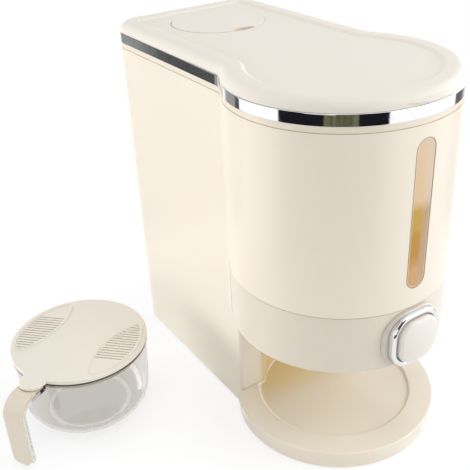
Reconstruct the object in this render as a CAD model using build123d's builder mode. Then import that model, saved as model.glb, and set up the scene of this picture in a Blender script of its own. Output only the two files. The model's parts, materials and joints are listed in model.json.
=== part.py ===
from build123d import *

import os
from math import atan2, cos, degrees, hypot, pi, radians, sin, sqrt

os.makedirs("parts", exist_ok=True)

# Push-button rice dispenser with a measuring cup beside it. Millimetres, +Z up. The origin is on the
# floor, on the axis of the round drum. The front is -Y, and the tank runs back along +Y.

# Plan: a round drum in front, a straight-sided tank behind, concave waists between them.
DRUM_R = 100.0
TANK_HALF = 82.5
REAR_Y = 266.0
REAR_CORNER_R = 25.0
WAIST_R = 25.0
WALL = 2.6

# Heights.
FOOT_H = 1.2
TRAY_TOP = 20.0
COLLAR_Z = 114.0
SEAM_GAP = 0.6
SHELL_TOP = 333.0
RIM_GROOVE = 0.8
RIM_STRIP = 4.7
BAND_H = 10.0
LID_GAP = 0.3
LID_H = 9.2

# Clearances: between pieces of one body, and between pieces that move past each other.
SNUG = 0.1
LOOSE = 0.3

# Niche under the drum, where a bowl or the cup stands.
COLUMN_Y = 45.0
NICHE_R = 72.0
NICHE_EDGE_R = 4.0

# Tray.
TRAY_FLARE = 2.0
TRAY_CORNER_R = 13.0
TRAY_EDGE_R = 1.2
TRAY_RIM = 22.8
TRAY_RECESS = 2.0
TRAY_RECESS_TURN_R = 2.5
TRAY_RECESS_EDGE_R = 2.0
TRAY_WALL = 2.5
COVER_T = 3.0
FOOT_INSET = 7.0
FOOT_W = 6.0
FOOT_GROOVE = 1.0
REAR_FOOT_R = 9.0
REAR_FOOT_X = 60.0
REAR_FOOT_BACK = 26.0

# Collar and its inside.
COLLAR_STEP = 0.3
COLLAR_FLOOR = 4.0
COLLAR_EDGE_R = 2.0
TAIL_BACK = 9.8
SPIGOT_OUT = 2.9
SPIGOT_IN = 5.0
SPIGOT_H = 24.8
SPIGOT_ROOT = 6.0

# Rim frame, band and lid.
BAND_PROUD = 0.4
BAND_SEAT = 1.4
BAND_EDGE_R = 0.6
SKIRT_H = 6.0
LID_SHOULDER_R = 9.0
LID_PANEL_INSET = 21.0
LID_PANEL_DEPTH = 1.8
LID_PANEL_SLOPE = 58.0
LID_PANEL_TOP_R = 5.0
LID_PANEL_FOOT_R = 2.5
LID_PLATE = 2.5
LID_EDGE_T = 3.8
LID_SKIRT_OUT = 6.3
LID_SKIRT_IN = 9.0
LID_SKIRT_DROP = 9.8
GASKET_H = 3.5
GASKET_DEPTH = 1.2
GASKET_DROP = 6.8
LIP_HALF_ANGLE = 12.0
LIP_OUT = 3.4
LIP_LIFT = 4.4
LIP_T = 2.6
LIP_DEPTH = 12.0
LIP_SLOPE = 18.0
LIP_SWEEP = 76.0

# Round cap in the lid, over the desiccant basket.
CAP_BACK = 76.0
CAP_R = 47.0
CAP_SEAT = 4.0
CAP_DEPTH = 3.2
CAP_LEDGE_T = 2.6
BASKET_DROP = 27.6
BASKET_WALL = 1.5
BASKET_FLANGE_T = 1.1
BASKET_SLOT = 3.0
BASKET_PITCH = 9.0
NOTCH_R = 20.0
NOTCH_IN = 7.4

# Sight window.
WINDOW_W = 20.0
WINDOW_OVER_SEAM = 18.3
WINDOW_UNDER_TOP = 11.0
WINDOW_FLANGE = 4.0
LENS_RECESS = 0.2
LENS_FLANGE_T = 1.5
GASKET_T = 0.8

# Push button, its ring and its surround.
BUTTON_W = 41.8
BUTTON_CORNER_R = 15.0
BUTTON_DOME_R = 70.0
BUTTON_EDGE_R = 3.4
BUTTON_NOSE = 14.0
BUTTON_SKIRT = 4.0
BUTTON_WALL = 2.0
BUTTON_PLAY = 0.4
RING_SIDE = 5.1
RING_TALLER = 1.0
RING_FACE = 6.8
RING_ROUND = 2.2
SLEEVE_IN = 1.4
SLEEVE_L = 8.0
SURROUND_SIDE = 3.7
SURROUND_CAP = 1.5
SURROUND_PROUD = 3.2
SURROUND_EDGE_R = 1.3
TRAVEL = 14.0

# Outlet, gate and its housing.
SPOUT_R = 23.0
SPOUT_WALL = 2.0
SPOUT_FLANGE = 11.0
SPOUT_FLANGE_T = 1.95
SPOUT_DROP = 2.0
OUTLET_STEP = 0.5
CHANNEL_SIDE = 5.8
CHANNEL_H = 8.0
HOUSING_SIDE = 4.7
HOUSING_ROOF = 4.0
HOUSING_Y0 = -41.0
HOUSING_Y1 = 44.0
GATE_Y0 = -46.0
GATE_Y1 = 24.0
GATE_PLAY = 0.2
SLOT_X = 40.0
SLOT_Y = 13.0
LUG_SIDE = 7.0
LUG_Y = 30.0
LUG_R = 5.0
LUG_T = 3.0
LUG_BOSS_H = 12.0

# Push rod, its guide and its spring.
ROD_R = 4.0
ROD_SOCKET = 10.0
RIB_Y0 = -62.0
RIB_Y1 = -58.0
RIB_HALF = 20.0
RIB_OVER = 18.0
STOP_R = 7.0
STOP_T = 1.4
SEAT_R = 10.0
SEAT_BACK = 6.0
SEAT_T = 2.0
SPRING_R = 8.0
WIRE_R = 0.6
SPRING_TURNS = 7

# Funnel.
NECK_STEP = 1.0
NECK_H = 8.5
HOPPER_WALL = 2.0
HOPPER_FLANGE = 3.0
HOPPER_RIM = 7.0
SEAL_T = 1.5
TROUGH_Y = 60.0
TROUGH_OVER = 4.0
TROUGH_SLOPE = 0.36
TROUGH_SIDE = 8.0

# Screws.
SCREW_R = 1.5
PILOT_R = 1.6
BOSS_R = 4.5
BOSS_L = 8.4
BOSS_PITCH = 10.0
BOSS_CLEAR = 0.7
SCREW_X = 52.0
HEAD_R = 3.5
HEAD_T = 1.5

# Lid hinge.
HINGE_BACK = 6.0
HINGE_OVER = 0.7
PIN_R = 1.5
PIN_BORE_R = 1.55
PIN_HEAD_R = 2.8
KNUCKLE_R = 4.0
KNUCKLE_HALF = 20.0
KNUCKLE_GAP = 0.4
SCREW_IN = 6.0
EAR_T = 9.6
EAR_R = 4.8
PLATE_T = 2.0
PLATE_UNDER = 25.0
PLATE_OVER = 4.0

# Measuring cup.
CUP_ASIDE = 44.5
CUP_Y = 145.0
CUP_RIM_Z = 78.0
CUP_RIM_R = 66.5
CUP_TAPER = 3.4
CUP_CORNER_R = 24.0
CUP_WALL = 2.2
CUP_BASE_Z = 2.5
CUP_RING_IN = 28.5
CUP_RING_W = 5.0
HANDLE_AZIMUTH = -150.0
STRAP_T = 5.0
STRAP_HALF = 9.0
STRAP_REACH = 34.5
STRAP_DROP = 2.0
STRAP_BOTTOM = 8.0
STRAP_CORNER_R = 15.0
STRAP_END_R = 1.5
COVER_SHELL = 4.2
COVER_HALF = 10.5
COVER_REACH = 13.5
COVER_EDGE_R = 0.7
COVER_END_R = 8.5
CUP_LID_OVER = 1.5
CUP_LID_H = 3.8
CUP_LID_PLATE = 2.6
CUP_LID_EDGE_R = 1.2
PLUG_PLAY = 1.8
PLUG_T = 2.0
PLUG_DEPTH = 6.0
SEAL_H = 2.0
SEAL_SHY = 0.2
TAB_REACH = 17.5
TAB_HALF = 13.0
DRAIN_RIM = 6.5
DRAIN_WAIST = 31.5
DRAIN_ARC_R = 82.0
DRAIN_PITCH = 3.9
DRAIN_SLOT = 1.2
DRAIN_ROWS = 15
DRAIN_SKEW = 15.0

# Worked out from the sizes above: plan.
WAIST_X = TANK_HALF + WAIST_R
WAIST_Y = sqrt((DRUM_R + WAIST_R) ** 2 - WAIST_X**2)
WAIST_SWING = degrees(atan2(WAIST_Y, WAIST_X))
TAIL_Y = WAIST_Y - TAIL_BACK
COLLAR_R = DRUM_R - COLLAR_STEP
TRAY_FOOT_R = DRUM_R - TRAY_FLARE
TRAY_RECESS_R = DRUM_R - TRAY_RIM
FOOT_OUT_R = min(hypot(TANK_HALF - FOOT_INSET, COLUMN_Y), TRAY_FOOT_R - TRAY_WALL - FOOT_W)
FOOT_IN_R = FOOT_OUT_R - FOOT_W
REAR_FOOT_Y = REAR_Y - REAR_FOOT_BACK
CAP_Y = REAR_Y - CAP_BACK
HINGE_Y = REAR_Y + HINGE_BACK
CONE_R = DRUM_R - SPIGOT_IN - LOOSE

# The button's group, from its cap outwards, and the rod's stations along Y.
RING_W = BUTTON_W + 2 * RING_SIDE
RING_H = RING_W + RING_TALLER
RING_CORNER_R = BUTTON_CORNER_R + RING_SIDE
SURROUND_W = RING_W + 2 * SURROUND_SIDE
SURROUND_H = RING_H + 2 * SURROUND_CAP
SURROUND_CORNER_R = RING_CORNER_R + SURROUND_SIDE
BUTTON_Z = COLLAR_Z + SURROUND_H / 2
BUTTON_NOSE_Y = -DRUM_R - BUTTON_NOSE
BUTTON_SKIRT_Y = -DRUM_R + BUTTON_SKIRT
RING_FACE_Y = -DRUM_R - RING_FACE
ROD_TIP_Y = BUTTON_NOSE_Y + ROD_SOCKET
SEAT_Y = -DRUM_R + SEAT_BACK

# Levels, from the collar up to the lid.
SEAM_Z = COLLAR_Z + SURROUND_H + 2 * SEAM_GAP
SHELL_Z = SEAM_Z + SEAM_GAP
STRIP_Z = SHELL_TOP + RIM_GROOVE
BAND_Z = STRIP_Z + RIM_STRIP
LID_Z = BAND_Z + BAND_H + LID_GAP
LID_TOP = LID_Z + LID_H
PANEL_Z = LID_TOP - LID_PANEL_DEPTH
LID_UNDER = PANEL_Z - LID_PLATE
CAP_LEDGE_Z = PANEL_Z - CAP_DEPTH
HINGE_Z = LID_Z + HINGE_OVER
PLATE_Z0 = SHELL_TOP - PLATE_UNDER
PLATE_Z1 = SHELL_TOP + PLATE_OVER
WINDOW_Z0 = SEAM_Z + WINDOW_OVER_SEAM
WINDOW_Z1 = SHELL_TOP - WINDOW_UNDER_TOP

# Levels and radii inside the collar and the funnel.
COLLAR_FLOOR_Z = COLLAR_Z + COLLAR_FLOOR
LUG_Z = COLLAR_FLOOR_Z + LUG_BOSS_H
RIB_TOP = BUTTON_Z + RIB_OVER
OUTLET_R = SPOUT_R - OUTLET_STEP
CHANNEL_HALF = OUTLET_R + CHANNEL_SIDE
CHANNEL_Z = BUTTON_Z - CHANNEL_H / 2
CHANNEL_Y1 = GATE_Y1 + TRAVEL + 2.0
HOUSING_HALF = CHANNEL_HALF + HOUSING_SIDE
HOUSING_Z = COLLAR_FLOOR_Z + SNUG / 2 + SPOUT_FLANGE_T + SNUG
HOUSING_TOP = CHANNEL_Z + CHANNEL_H + HOUSING_ROOF
LUG_X = HOUSING_HALF + LUG_SIDE
NECK_R = SPOUT_R + NECK_STEP
NECK_Z = HOUSING_TOP + SEAL_T
SPIGOT_TOP = SEAM_Z + SPIGOT_H
CONE_TOP = SPIGOT_TOP + HOPPER_FLANGE
TROUGH_Z = CONE_TOP + TROUGH_OVER

# The cup, from its rim.
CUP_X = -(DRUM_R + CUP_ASIDE + CUP_RIM_R)
CUP_LID_R = CUP_RIM_R + CUP_LID_OVER
CUP_LID_Z = CUP_RIM_Z + LOOSE + SEAL_H
CUP_LID_TOP = CUP_LID_Z + CUP_LID_H
PLUG_OUT_R = CUP_RIM_R - CUP_WALL - PLUG_PLAY
PLUG_IN_R = PLUG_OUT_R - PLUG_T
PLUG_Z = CUP_RIM_Z - PLUG_DEPTH
STRAP_OUT = CUP_RIM_R + STRAP_REACH
STRAP_TOP = CUP_RIM_Z - STRAP_DROP
TAB_OUT = CUP_RIM_R + TAB_REACH
CUP_PLANE = Plane(
    origin=(CUP_X, CUP_Y, 0),
    x_dir=(cos(radians(HANDLE_AZIMUTH)), sin(radians(HANDLE_AZIMUTH)), 0),
    z_dir=(sin(radians(HANDLE_AZIMUTH)), -cos(radians(HANDLE_AZIMUTH)), 0),
)


def keyhole(inset):
    """The body's plan, drawn in by an inset all the way round."""
    with BuildSketch(mode=Mode.PRIVATE) as plan:
        with BuildLine():
            CenterArc((0, 0), DRUM_R - inset, 180 - WAIST_SWING, 180 + 2 * WAIST_SWING)
            CenterArc((WAIST_X, WAIST_Y), WAIST_R + inset, 180, WAIST_SWING)
            CenterArc((-WAIST_X, WAIST_Y), WAIST_R + inset, 0, -WAIST_SWING)
            side = TANK_HALF - inset
            corner_x = TANK_HALF - REAR_CORNER_R
            corner_y = REAR_Y - REAR_CORNER_R
            Line((side, WAIST_Y), (side, corner_y))
            CenterArc((corner_x, corner_y), REAR_CORNER_R - inset, 0, 90)
            Line((corner_x, REAR_Y - inset), (-corner_x, REAR_Y - inset))
            CenterArc((-corner_x, corner_y), REAR_CORNER_R - inset, 90, 90)
            Line((-side, corner_y), (-side, WAIST_Y))
        make_face()
    return plan.sketch


def ring(outer, inner):
    """A keyhole band between two insets."""
    with BuildSketch(mode=Mode.PRIVATE) as plan:
        add(keyhole(outer))
        add(keyhole(inner), mode=Mode.SUBTRACT)
    return plan.sketch


def column(inset, front_edge_r):
    """Plan of the column behind the niche, hollowed to the niche's round wall."""
    front = COLUMN_Y + inset
    back = REAR_Y - inset
    with BuildSketch(mode=Mode.PRIVATE) as plan:
        with Locations((0, (front + back) / 2)):
            Rectangle(2 * (TANK_HALF - inset), back - front)
        fillet(plan.vertices().group_by(Axis.Y)[-1], REAR_CORNER_R - inset)
        Circle(NICHE_R + inset, mode=Mode.SUBTRACT)
        if front_edge_r:
            fillet(plan.vertices().group_by(Axis.Y)[0], front_edge_r)
    return plan.sketch


def tongue(inset, front):
    """Plan of what lies inside the column's foot, from a front line to the rear corners."""
    back = REAR_Y - inset
    with BuildSketch(mode=Mode.PRIVATE) as plan:
        with Locations((0, (front + back) / 2)):
            Rectangle(2 * (TANK_HALF - inset), back - front)
        fillet(plan.vertices().group_by(Axis.Y)[-1], REAR_CORNER_R - inset)
    return plan.sketch


def tray_disc(radius):
    """Plan of the tray's disc, cut off straight in front of the column with rounded corners."""
    chord = COLUMN_Y - LOOSE
    centre_y = chord - TRAY_CORNER_R
    centre_x = sqrt((radius - TRAY_CORNER_R) ** 2 - centre_y**2)
    swing = degrees(atan2(centre_y, centre_x))
    with BuildSketch(mode=Mode.PRIVATE) as plan:
        with BuildLine():
            CenterArc((0, 0), radius, 180 - swing, 180 + 2 * swing)
            CenterArc((centre_x, centre_y), TRAY_CORNER_R, swing, 90 - swing)
            Line((centre_x, chord), (-centre_x, chord))
            CenterArc((-centre_x, centre_y), TRAY_CORNER_R, 90, 90 - swing)
        make_face()
    return plan.sketch


def rounded_outline(*corners):
    """A closed outline; each corner is its place and the radius that rounds it."""
    with BuildSketch(mode=Mode.PRIVATE) as plan:
        with BuildLine():
            Polyline(*[(x, y) for x, y, radius in corners], close=True)
        make_face()
        for x, y, radius in corners:
            if radius:
                fillet(plan.vertices().sort_by_distance((x, y))[0], radius)
    return plan.sketch


def front_box(width, height, corner_r):
    """A rounded square about the button's axis, on a plane that faces the front."""
    with BuildSketch(mode=Mode.PRIVATE) as plan:
        RectangleRounded(width, height, corner_r)
    return plan.sketch


def front_plane(y):
    """A plane across the button's axis; its normal points back, along +Y."""
    return Plane(origin=(0, y, BUTTON_Z), x_dir=(-1, 0, 0), z_dir=(0, 1, 0))


def drum_band(outer_r, inner_r, low, high):
    """A short tube about the drum's axis."""
    with BuildPart(mode=Mode.PRIVATE) as band:
        with BuildSketch(Plane.XY.offset(low)):
            Circle(outer_r)
            Circle(inner_r, mode=Mode.SUBTRACT)
        extrude(amount=high - low)
    return band.part


def window_prism(grow):
    """The window's slot, run from the drum's middle out through its front."""
    height = WINDOW_Z1 - WINDOW_Z0 + 2 * grow
    middle = (WINDOW_Z0 + WINDOW_Z1) / 2
    with BuildPart(mode=Mode.PRIVATE) as prism:
        with BuildSketch(Plane(origin=(0, -DRUM_R / 2, middle), x_dir=(1, 0, 0), z_dir=(0, -1, 0))):
            SlotOverall(height, WINDOW_W + 2 * grow, rotation=90)
        extrude(amount=DRUM_R)
    return prism.part


# Casing: the tank above, the hollow column behind the niche below.
with BuildPart() as main_shell:
    with BuildSketch(Plane.XY.offset(SHELL_Z)):
        add(ring(0, WALL))
    extrude(amount=SHELL_TOP - SHELL_Z)
    with BuildSketch(Plane.XY.offset(FOOT_H)):
        add(column(0, NICHE_EDGE_R))
        add(column(WALL, 0), mode=Mode.SUBTRACT)
    extrude(amount=SHELL_Z + SNUG - FOOT_H)
    # the waist's flare runs on down beside the collar
    with BuildSketch(Plane.XY.offset(COLLAR_Z)):
        add(keyhole(0))
        with Locations((0, TAIL_Y - DRUM_R)):
            Rectangle(4 * DRUM_R, 2 * DRUM_R, mode=Mode.SUBTRACT)
        add(tongue(WALL / 2, TAIL_Y), mode=Mode.SUBTRACT)
    extrude(amount=SHELL_Z + SNUG - COLLAR_Z)
    # doorway at the foot for the tray's tongue
    doorway_back = NICHE_R + WALL + 6
    with BuildSketch(Plane.XY.offset(FOOT_H)):
        with Locations((0, (COLUMN_Y - 1 + doorway_back) / 2)):
            Rectangle(2 * (TANK_HALF - WALL), doorway_back - COLUMN_Y + 1)
    extrude(amount=TRAY_TOP + LOOSE - FOOT_H, mode=Mode.SUBTRACT)
    # ledge that carries the rear edge of the sloping floor
    ledge_front = REAR_Y - WALL - 4
    ledge_top = TROUGH_Z + TROUGH_SLOPE * (ledge_front - TROUGH_Y) - HOPPER_WALL - LOOSE
    with BuildSketch(Plane.XY.offset(ledge_top - 6)):
        with Locations((0, (ledge_front + REAR_Y - WALL / 2) / 2)):
            Rectangle(60, REAR_Y - WALL / 2 - ledge_front)
    extrude(amount=6)
    add(window_prism(0), mode=Mode.SUBTRACT)
    # blind bosses for the hinge screws
    top_row = SHELL_TOP - SKIRT_H - BOSS_CLEAR - BOSS_R
    screw_rows = (top_row - BOSS_PITCH, top_row)
    boss_back = REAR_Y - WALL / 2
    boss_front = REAR_Y - WALL - BOSS_L
    screw_columns = (-(KNUCKLE_HALF - SCREW_IN), KNUCKLE_HALF - SCREW_IN)
    for screw_z in screw_rows:
        for screw_x in screw_columns:
            boss_start = (screw_x, boss_front, screw_z)
            with BuildSketch(Plane(origin=boss_start, x_dir=(-1, 0, 0), z_dir=(0, 1, 0))):
                Circle(BOSS_R)
            extrude(amount=boss_back - boss_front)
    for screw_z in screw_rows:
        for screw_x in screw_columns:
            pilot_start = (screw_x, boss_front + 1.5, screw_z)
            with BuildSketch(Plane(origin=pilot_start, x_dir=(-1, 0, 0), z_dir=(0, 1, 0))):
                Circle(PILOT_R)
            extrude(amount=REAR_Y - boss_front, mode=Mode.SUBTRACT)
main_shell.part.label = "main_shell"
export_step(main_shell.part, "parts/main_shell.step")

# Collar: the drum's lower band, with its floor, the guide rib and the bosses for the gate housing.
opening_w = RING_W - 2 * SLEEVE_IN + 2 * SNUG
opening_h = RING_H - 2 * SLEEVE_IN + 2 * SNUG
opening_r = RING_CORNER_R - SLEEVE_IN + SNUG
with BuildPart() as collar:
    with BuildSketch(Plane.XY.offset(COLLAR_Z)):
        add(keyhole(COLLAR_STEP))
    extrude(amount=SEAM_Z - COLLAR_Z)
    fillet(collar.edges().group_by(Axis.Z)[0], COLLAR_EDGE_R)
    # cut square behind the tails, and round the column
    with BuildSketch(Plane.XY.offset(COLLAR_Z)):
        with Locations((0, TAIL_Y - SNUG + REAR_Y)):
            Rectangle(4 * DRUM_R, 2 * REAR_Y)
        with Locations((0, COLUMN_Y - 1.5 * SNUG + REAR_Y)):
            Rectangle(2 * TANK_HALF + 3 * SNUG, 2 * REAR_Y)
        Circle(NICHE_R - 1.5 * SNUG, mode=Mode.SUBTRACT)
    extrude(amount=SEAM_Z - COLLAR_Z, mode=Mode.SUBTRACT)
    # cavity above the floor
    with BuildSketch(Plane.XY.offset(COLLAR_FLOOR_Z)):
        Circle(COLLAR_R - WALL)
        with Locations((0, COLUMN_Y - WALL + DRUM_R)):
            Rectangle(4 * DRUM_R, 2 * DRUM_R, mode=Mode.SUBTRACT)
        Circle(NICHE_R - WALL)
    extrude(amount=SEAM_Z - COLLAR_FLOOR_Z, mode=Mode.SUBTRACT)
    # spigot that enters the tank and carries the funnel
    with BuildSketch(Plane.XY.offset(SEAM_Z - SPIGOT_ROOT)):
        Circle(DRUM_R - SPIGOT_OUT)
        Circle(DRUM_R - SPIGOT_IN, mode=Mode.SUBTRACT)
        with Locations((0, COLUMN_Y - 15 + DRUM_R)):
            Rectangle(4 * DRUM_R, 2 * DRUM_R, mode=Mode.SUBTRACT)
    extrude(amount=SPIGOT_TOP - SEAM_Z + SPIGOT_ROOT)
    with BuildSketch(Plane.XY.offset(WINDOW_Z0 - WINDOW_FLANGE - 1.5)):
        with Locations((0, -DRUM_R)):
            Rectangle(WINDOW_W + 2 * WINDOW_FLANGE + 4, DRUM_R)
    extrude(amount=SPIGOT_TOP, mode=Mode.SUBTRACT)
    # guide rib for the push rod
    with BuildSketch(Plane.XY.offset(COLLAR_FLOOR_Z - 1)):
        with Locations((0, (RIB_Y0 + RIB_Y1) / 2)):
            Rectangle(2 * RIB_HALF, RIB_Y1 - RIB_Y0)
    extrude(amount=RIB_TOP - COLLAR_FLOOR_Z + 1)
    with BuildSketch(front_plane(RIB_Y0 - 1)):
        Circle(ROD_R + SNUG)
    extrude(amount=RIB_Y1 - RIB_Y0 + 2, mode=Mode.SUBTRACT)
    # bosses for the housing's screws
    with BuildSketch(Plane.XY.offset(COLLAR_FLOOR_Z - 1)):
        with GridLocations(2 * LUG_X, 2 * LUG_Y, 2, 2):
            Circle(LUG_R)
    extrude(amount=LUG_Z - COLLAR_FLOOR_Z + 1)
    with BuildSketch(Plane.XY.offset(COLLAR_FLOOR_Z + 1)):
        with GridLocations(2 * LUG_X, 2 * LUG_Y, 2, 2):
            Circle(PILOT_R)
    extrude(amount=LUG_Z - COLLAR_FLOOR_Z, mode=Mode.SUBTRACT)
    # outlet, and the opening for the button's ring
    with BuildSketch(Plane.XY.offset(COLLAR_Z - 1)):
        Circle(SPOUT_R + SPOUT_WALL + SNUG)
    extrude(amount=COLLAR_FLOOR + 2, mode=Mode.SUBTRACT)
    with BuildSketch(front_plane(-DRUM_R - 5)):
        add(front_box(opening_w, opening_h, opening_r))
    extrude(amount=25, mode=Mode.SUBTRACT)
collar.part.label = "collar"
export_step(collar.part, "parts/collar.step")

# Tray foot: a shallow dished disc, and a tongue that runs back inside the column.
flare_angle = degrees(atan2(TRAY_FLARE, TRAY_TOP - FOOT_H))
tray_under = TRAY_TOP - TRAY_RECESS - TRAY_WALL
tray_screws = [(x, y) for x in (-SCREW_X, SCREW_X) for y in (-SCREW_X, SCREW_X, REAR_FOOT_Y - 40)]
with BuildPart() as base_tray:
    with BuildSketch(Plane.XY.offset(FOOT_H)):
        add(tray_disc(TRAY_FOOT_R))
    extrude(amount=TRAY_TOP - FOOT_H, taper=-flare_angle)
    with BuildSketch(Plane.XY.offset(FOOT_H)):
        with Locations((0, COLUMN_Y - LOOSE + DRUM_R)):
            Rectangle(4 * DRUM_R, 2 * DRUM_R)
    extrude(amount=TRAY_TOP - FOOT_H, mode=Mode.SUBTRACT)
    fillet(base_tray.edges().group_by(Axis.Z)[-1], TRAY_EDGE_R)
    with BuildSketch(Plane.XY.offset(FOOT_H)):
        add(tongue(WALL + LOOSE, COLUMN_Y - 10))
    extrude(amount=TRAY_TOP - FOOT_H)
    with BuildSketch(Plane.XY.offset(TRAY_TOP - TRAY_RECESS)) as dish:
        Circle(TRAY_RECESS_R - TRAY_RECESS)
        with Locations((0, COLUMN_Y - 2 + DRUM_R)):
            Rectangle(4 * DRUM_R, 2 * DRUM_R, mode=Mode.SUBTRACT)
        Circle(NICHE_R - 2)
        dish_turns = [v for v in dish.vertices() if abs(v.Y - COLUMN_Y + 2) < 0.01]
        fillet(dish_turns, TRAY_RECESS_TURN_R)
    extrude(amount=TRAY_RECESS, taper=-40, mode=Mode.SUBTRACT)
    fillet(base_tray.faces().sort_by(Axis.Z)[-1].inner_wires()[0].edges(), TRAY_RECESS_EDGE_R)
    # hollow underneath
    with BuildSketch(Plane.XY.offset(FOOT_H)):
        add(tray_disc(TRAY_FOOT_R - TRAY_WALL))
    extrude(amount=tray_under - FOOT_H, mode=Mode.SUBTRACT)
    with BuildSketch(Plane.XY.offset(FOOT_H)):
        add(tongue(WALL + LOOSE + TRAY_WALL, COLUMN_Y - 12))
    extrude(amount=tray_under - FOOT_H, mode=Mode.SUBTRACT)
    with BuildSketch(Plane.XY.offset(FOOT_H + COVER_T + SNUG)):
        with Locations(*tray_screws):
            Circle(LUG_R)
    extrude(until=Until.NEXT)
    with BuildSketch(Plane.XY.offset(FOOT_H + COVER_T)):
        with Locations(*tray_screws):
            Circle(PILOT_R)
    extrude(amount=10, mode=Mode.SUBTRACT)
base_tray.part.label = "base_tray"
export_step(base_tray.part, "parts/base_tray.step")

# Flat cover under the tray, with a groove for the ring foot and counterbores for its screws.
cover_inset = WALL + LOOSE + TRAY_WALL + SNUG
counterbore_top = FOOT_H + HEAD_T + SNUG
with BuildPart() as base_cover:
    with BuildSketch(Plane.XY.offset(FOOT_H)):
        add(tray_disc(TRAY_FOOT_R - TRAY_WALL - SNUG))
        add(tongue(cover_inset, COLUMN_Y - 12))
    extrude(amount=COVER_T)
    with BuildSketch(Plane.XY.offset(FOOT_H)):
        Circle(FOOT_OUT_R)
        Circle(FOOT_IN_R, mode=Mode.SUBTRACT)
        with Locations((-REAR_FOOT_X, REAR_FOOT_Y), (REAR_FOOT_X, REAR_FOOT_Y)):
            Circle(REAR_FOOT_R)
    extrude(amount=FOOT_GROOVE, mode=Mode.SUBTRACT)
    with BuildSketch(Plane.XY.offset(FOOT_H)):
        with Locations(*tray_screws):
            Circle(HEAD_R + 2 * SNUG)
    extrude(amount=counterbore_top - FOOT_H, mode=Mode.SUBTRACT)
    with BuildSketch(Plane.XY.offset(FOOT_H)):
        with Locations(*tray_screws):
            Circle(PILOT_R)
    extrude(amount=COVER_T, mode=Mode.SUBTRACT)
base_cover.part.label = "base_cover"
export_step(base_cover.part, "parts/base_cover.step")

with BuildPart() as base_screws:
    with BuildSketch(Plane.XY.offset(counterbore_top - HEAD_T)):
        with Locations(*tray_screws):
            Circle(HEAD_R)
    extrude(amount=HEAD_T)
    with BuildSketch(Plane.XY.offset(counterbore_top)):
        with Locations(*tray_screws):
            Circle(SCREW_R)
    extrude(amount=9)
base_screws.part.label = "base_screws"
export_step(base_screws.part, "parts/base_screws.step")

with BuildPart() as foot_ring:
    with BuildSketch():
        Circle(FOOT_OUT_R - SNUG)
        Circle(FOOT_IN_R + SNUG, mode=Mode.SUBTRACT)
    extrude(amount=FOOT_H + FOOT_GROOVE)
foot_ring.part.label = "foot_ring"
export_step(foot_ring.part, "parts/foot_ring.step")

with BuildPart() as rear_feet:
    with BuildSketch():
        with Locations((-REAR_FOOT_X, REAR_FOOT_Y), (REAR_FOOT_X, REAR_FOOT_Y)):
            Circle(REAR_FOOT_R - SNUG)
    extrude(amount=FOOT_H + FOOT_GROOVE)
rear_feet.part.label = "rear_feet"
export_step(rear_feet.part, "parts/rear_feet.step")

# Frame on the tank's rim: a strip that shows, a seat for the band above it, a skirt inside the shell.
with BuildPart() as rim_frame:
    with BuildSketch(Plane.XY.offset(STRIP_Z)):
        add(ring(0, SPIGOT_IN))
    extrude(amount=RIM_STRIP)
    with BuildSketch(Plane.XY.offset(SHELL_TOP)):
        add(ring(1.0, SPIGOT_IN))
    extrude(amount=RIM_GROOVE)
    with BuildSketch(Plane.XY.offset(BAND_Z)):
        add(ring(BAND_SEAT, SPIGOT_IN))
    extrude(amount=BAND_H)
    with BuildSketch(Plane.XY.offset(SHELL_TOP - SKIRT_H)):
        add(ring(SPIGOT_OUT, SPIGOT_IN))
    extrude(amount=SKIRT_H)
rim_frame.part.label = "rim_frame"
export_step(rim_frame.part, "parts/rim_frame.step")

# Chrome band.
with BuildPart() as trim_band:
    with BuildSketch(Plane.XY.offset(BAND_Z)):
        add(ring(-BAND_PROUD, BAND_SEAT - SNUG / 2))
    extrude(amount=BAND_H)
    outer_edges = trim_band.faces().sort_by(Axis.Z)[-1].outer_wire().edges()
    outer_edges += trim_band.faces().sort_by(Axis.Z)[0].outer_wire().edges()
    fillet(outer_edges, BAND_EDGE_R)
trim_band.part.label = "trim_band"
export_step(trim_band.part, "parts/trim_band.step")

# Finger lip: a rounded section swept on a tighter circle than the drum's, so that its ends sink into the lid.
lip_half = DRUM_R * sin(radians(LIP_HALF_ANGLE))
lip_bulge = DRUM_R + LIP_OUT - DRUM_R * cos(radians(LIP_HALF_ANGLE))
lip_turn_r = (lip_half**2 + lip_bulge**2) / (2 * lip_bulge)
lip_axis_y = lip_turn_r - DRUM_R - LIP_OUT
lip_start = radians(-90 - LIP_SWEEP / 2)
lip_out = (cos(lip_start), sin(lip_start), 0)
lip_across = (sin(lip_start), -cos(lip_start), 0)
with BuildPart(mode=Mode.PRIVATE) as lip_band:
    with BuildSketch(Plane(origin=(0, lip_axis_y, LID_Z + LIP_LIFT), x_dir=lip_out, z_dir=lip_across)):
        with Locations((lip_turn_r - LIP_DEPTH / 2, 0)):
            SlotOverall(LIP_DEPTH, LIP_T, rotation=-LIP_SLOPE)
    revolve(axis=Axis((0, lip_axis_y, 0), (0, 0, 1)), revolution_arc=LIP_SWEEP)

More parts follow.
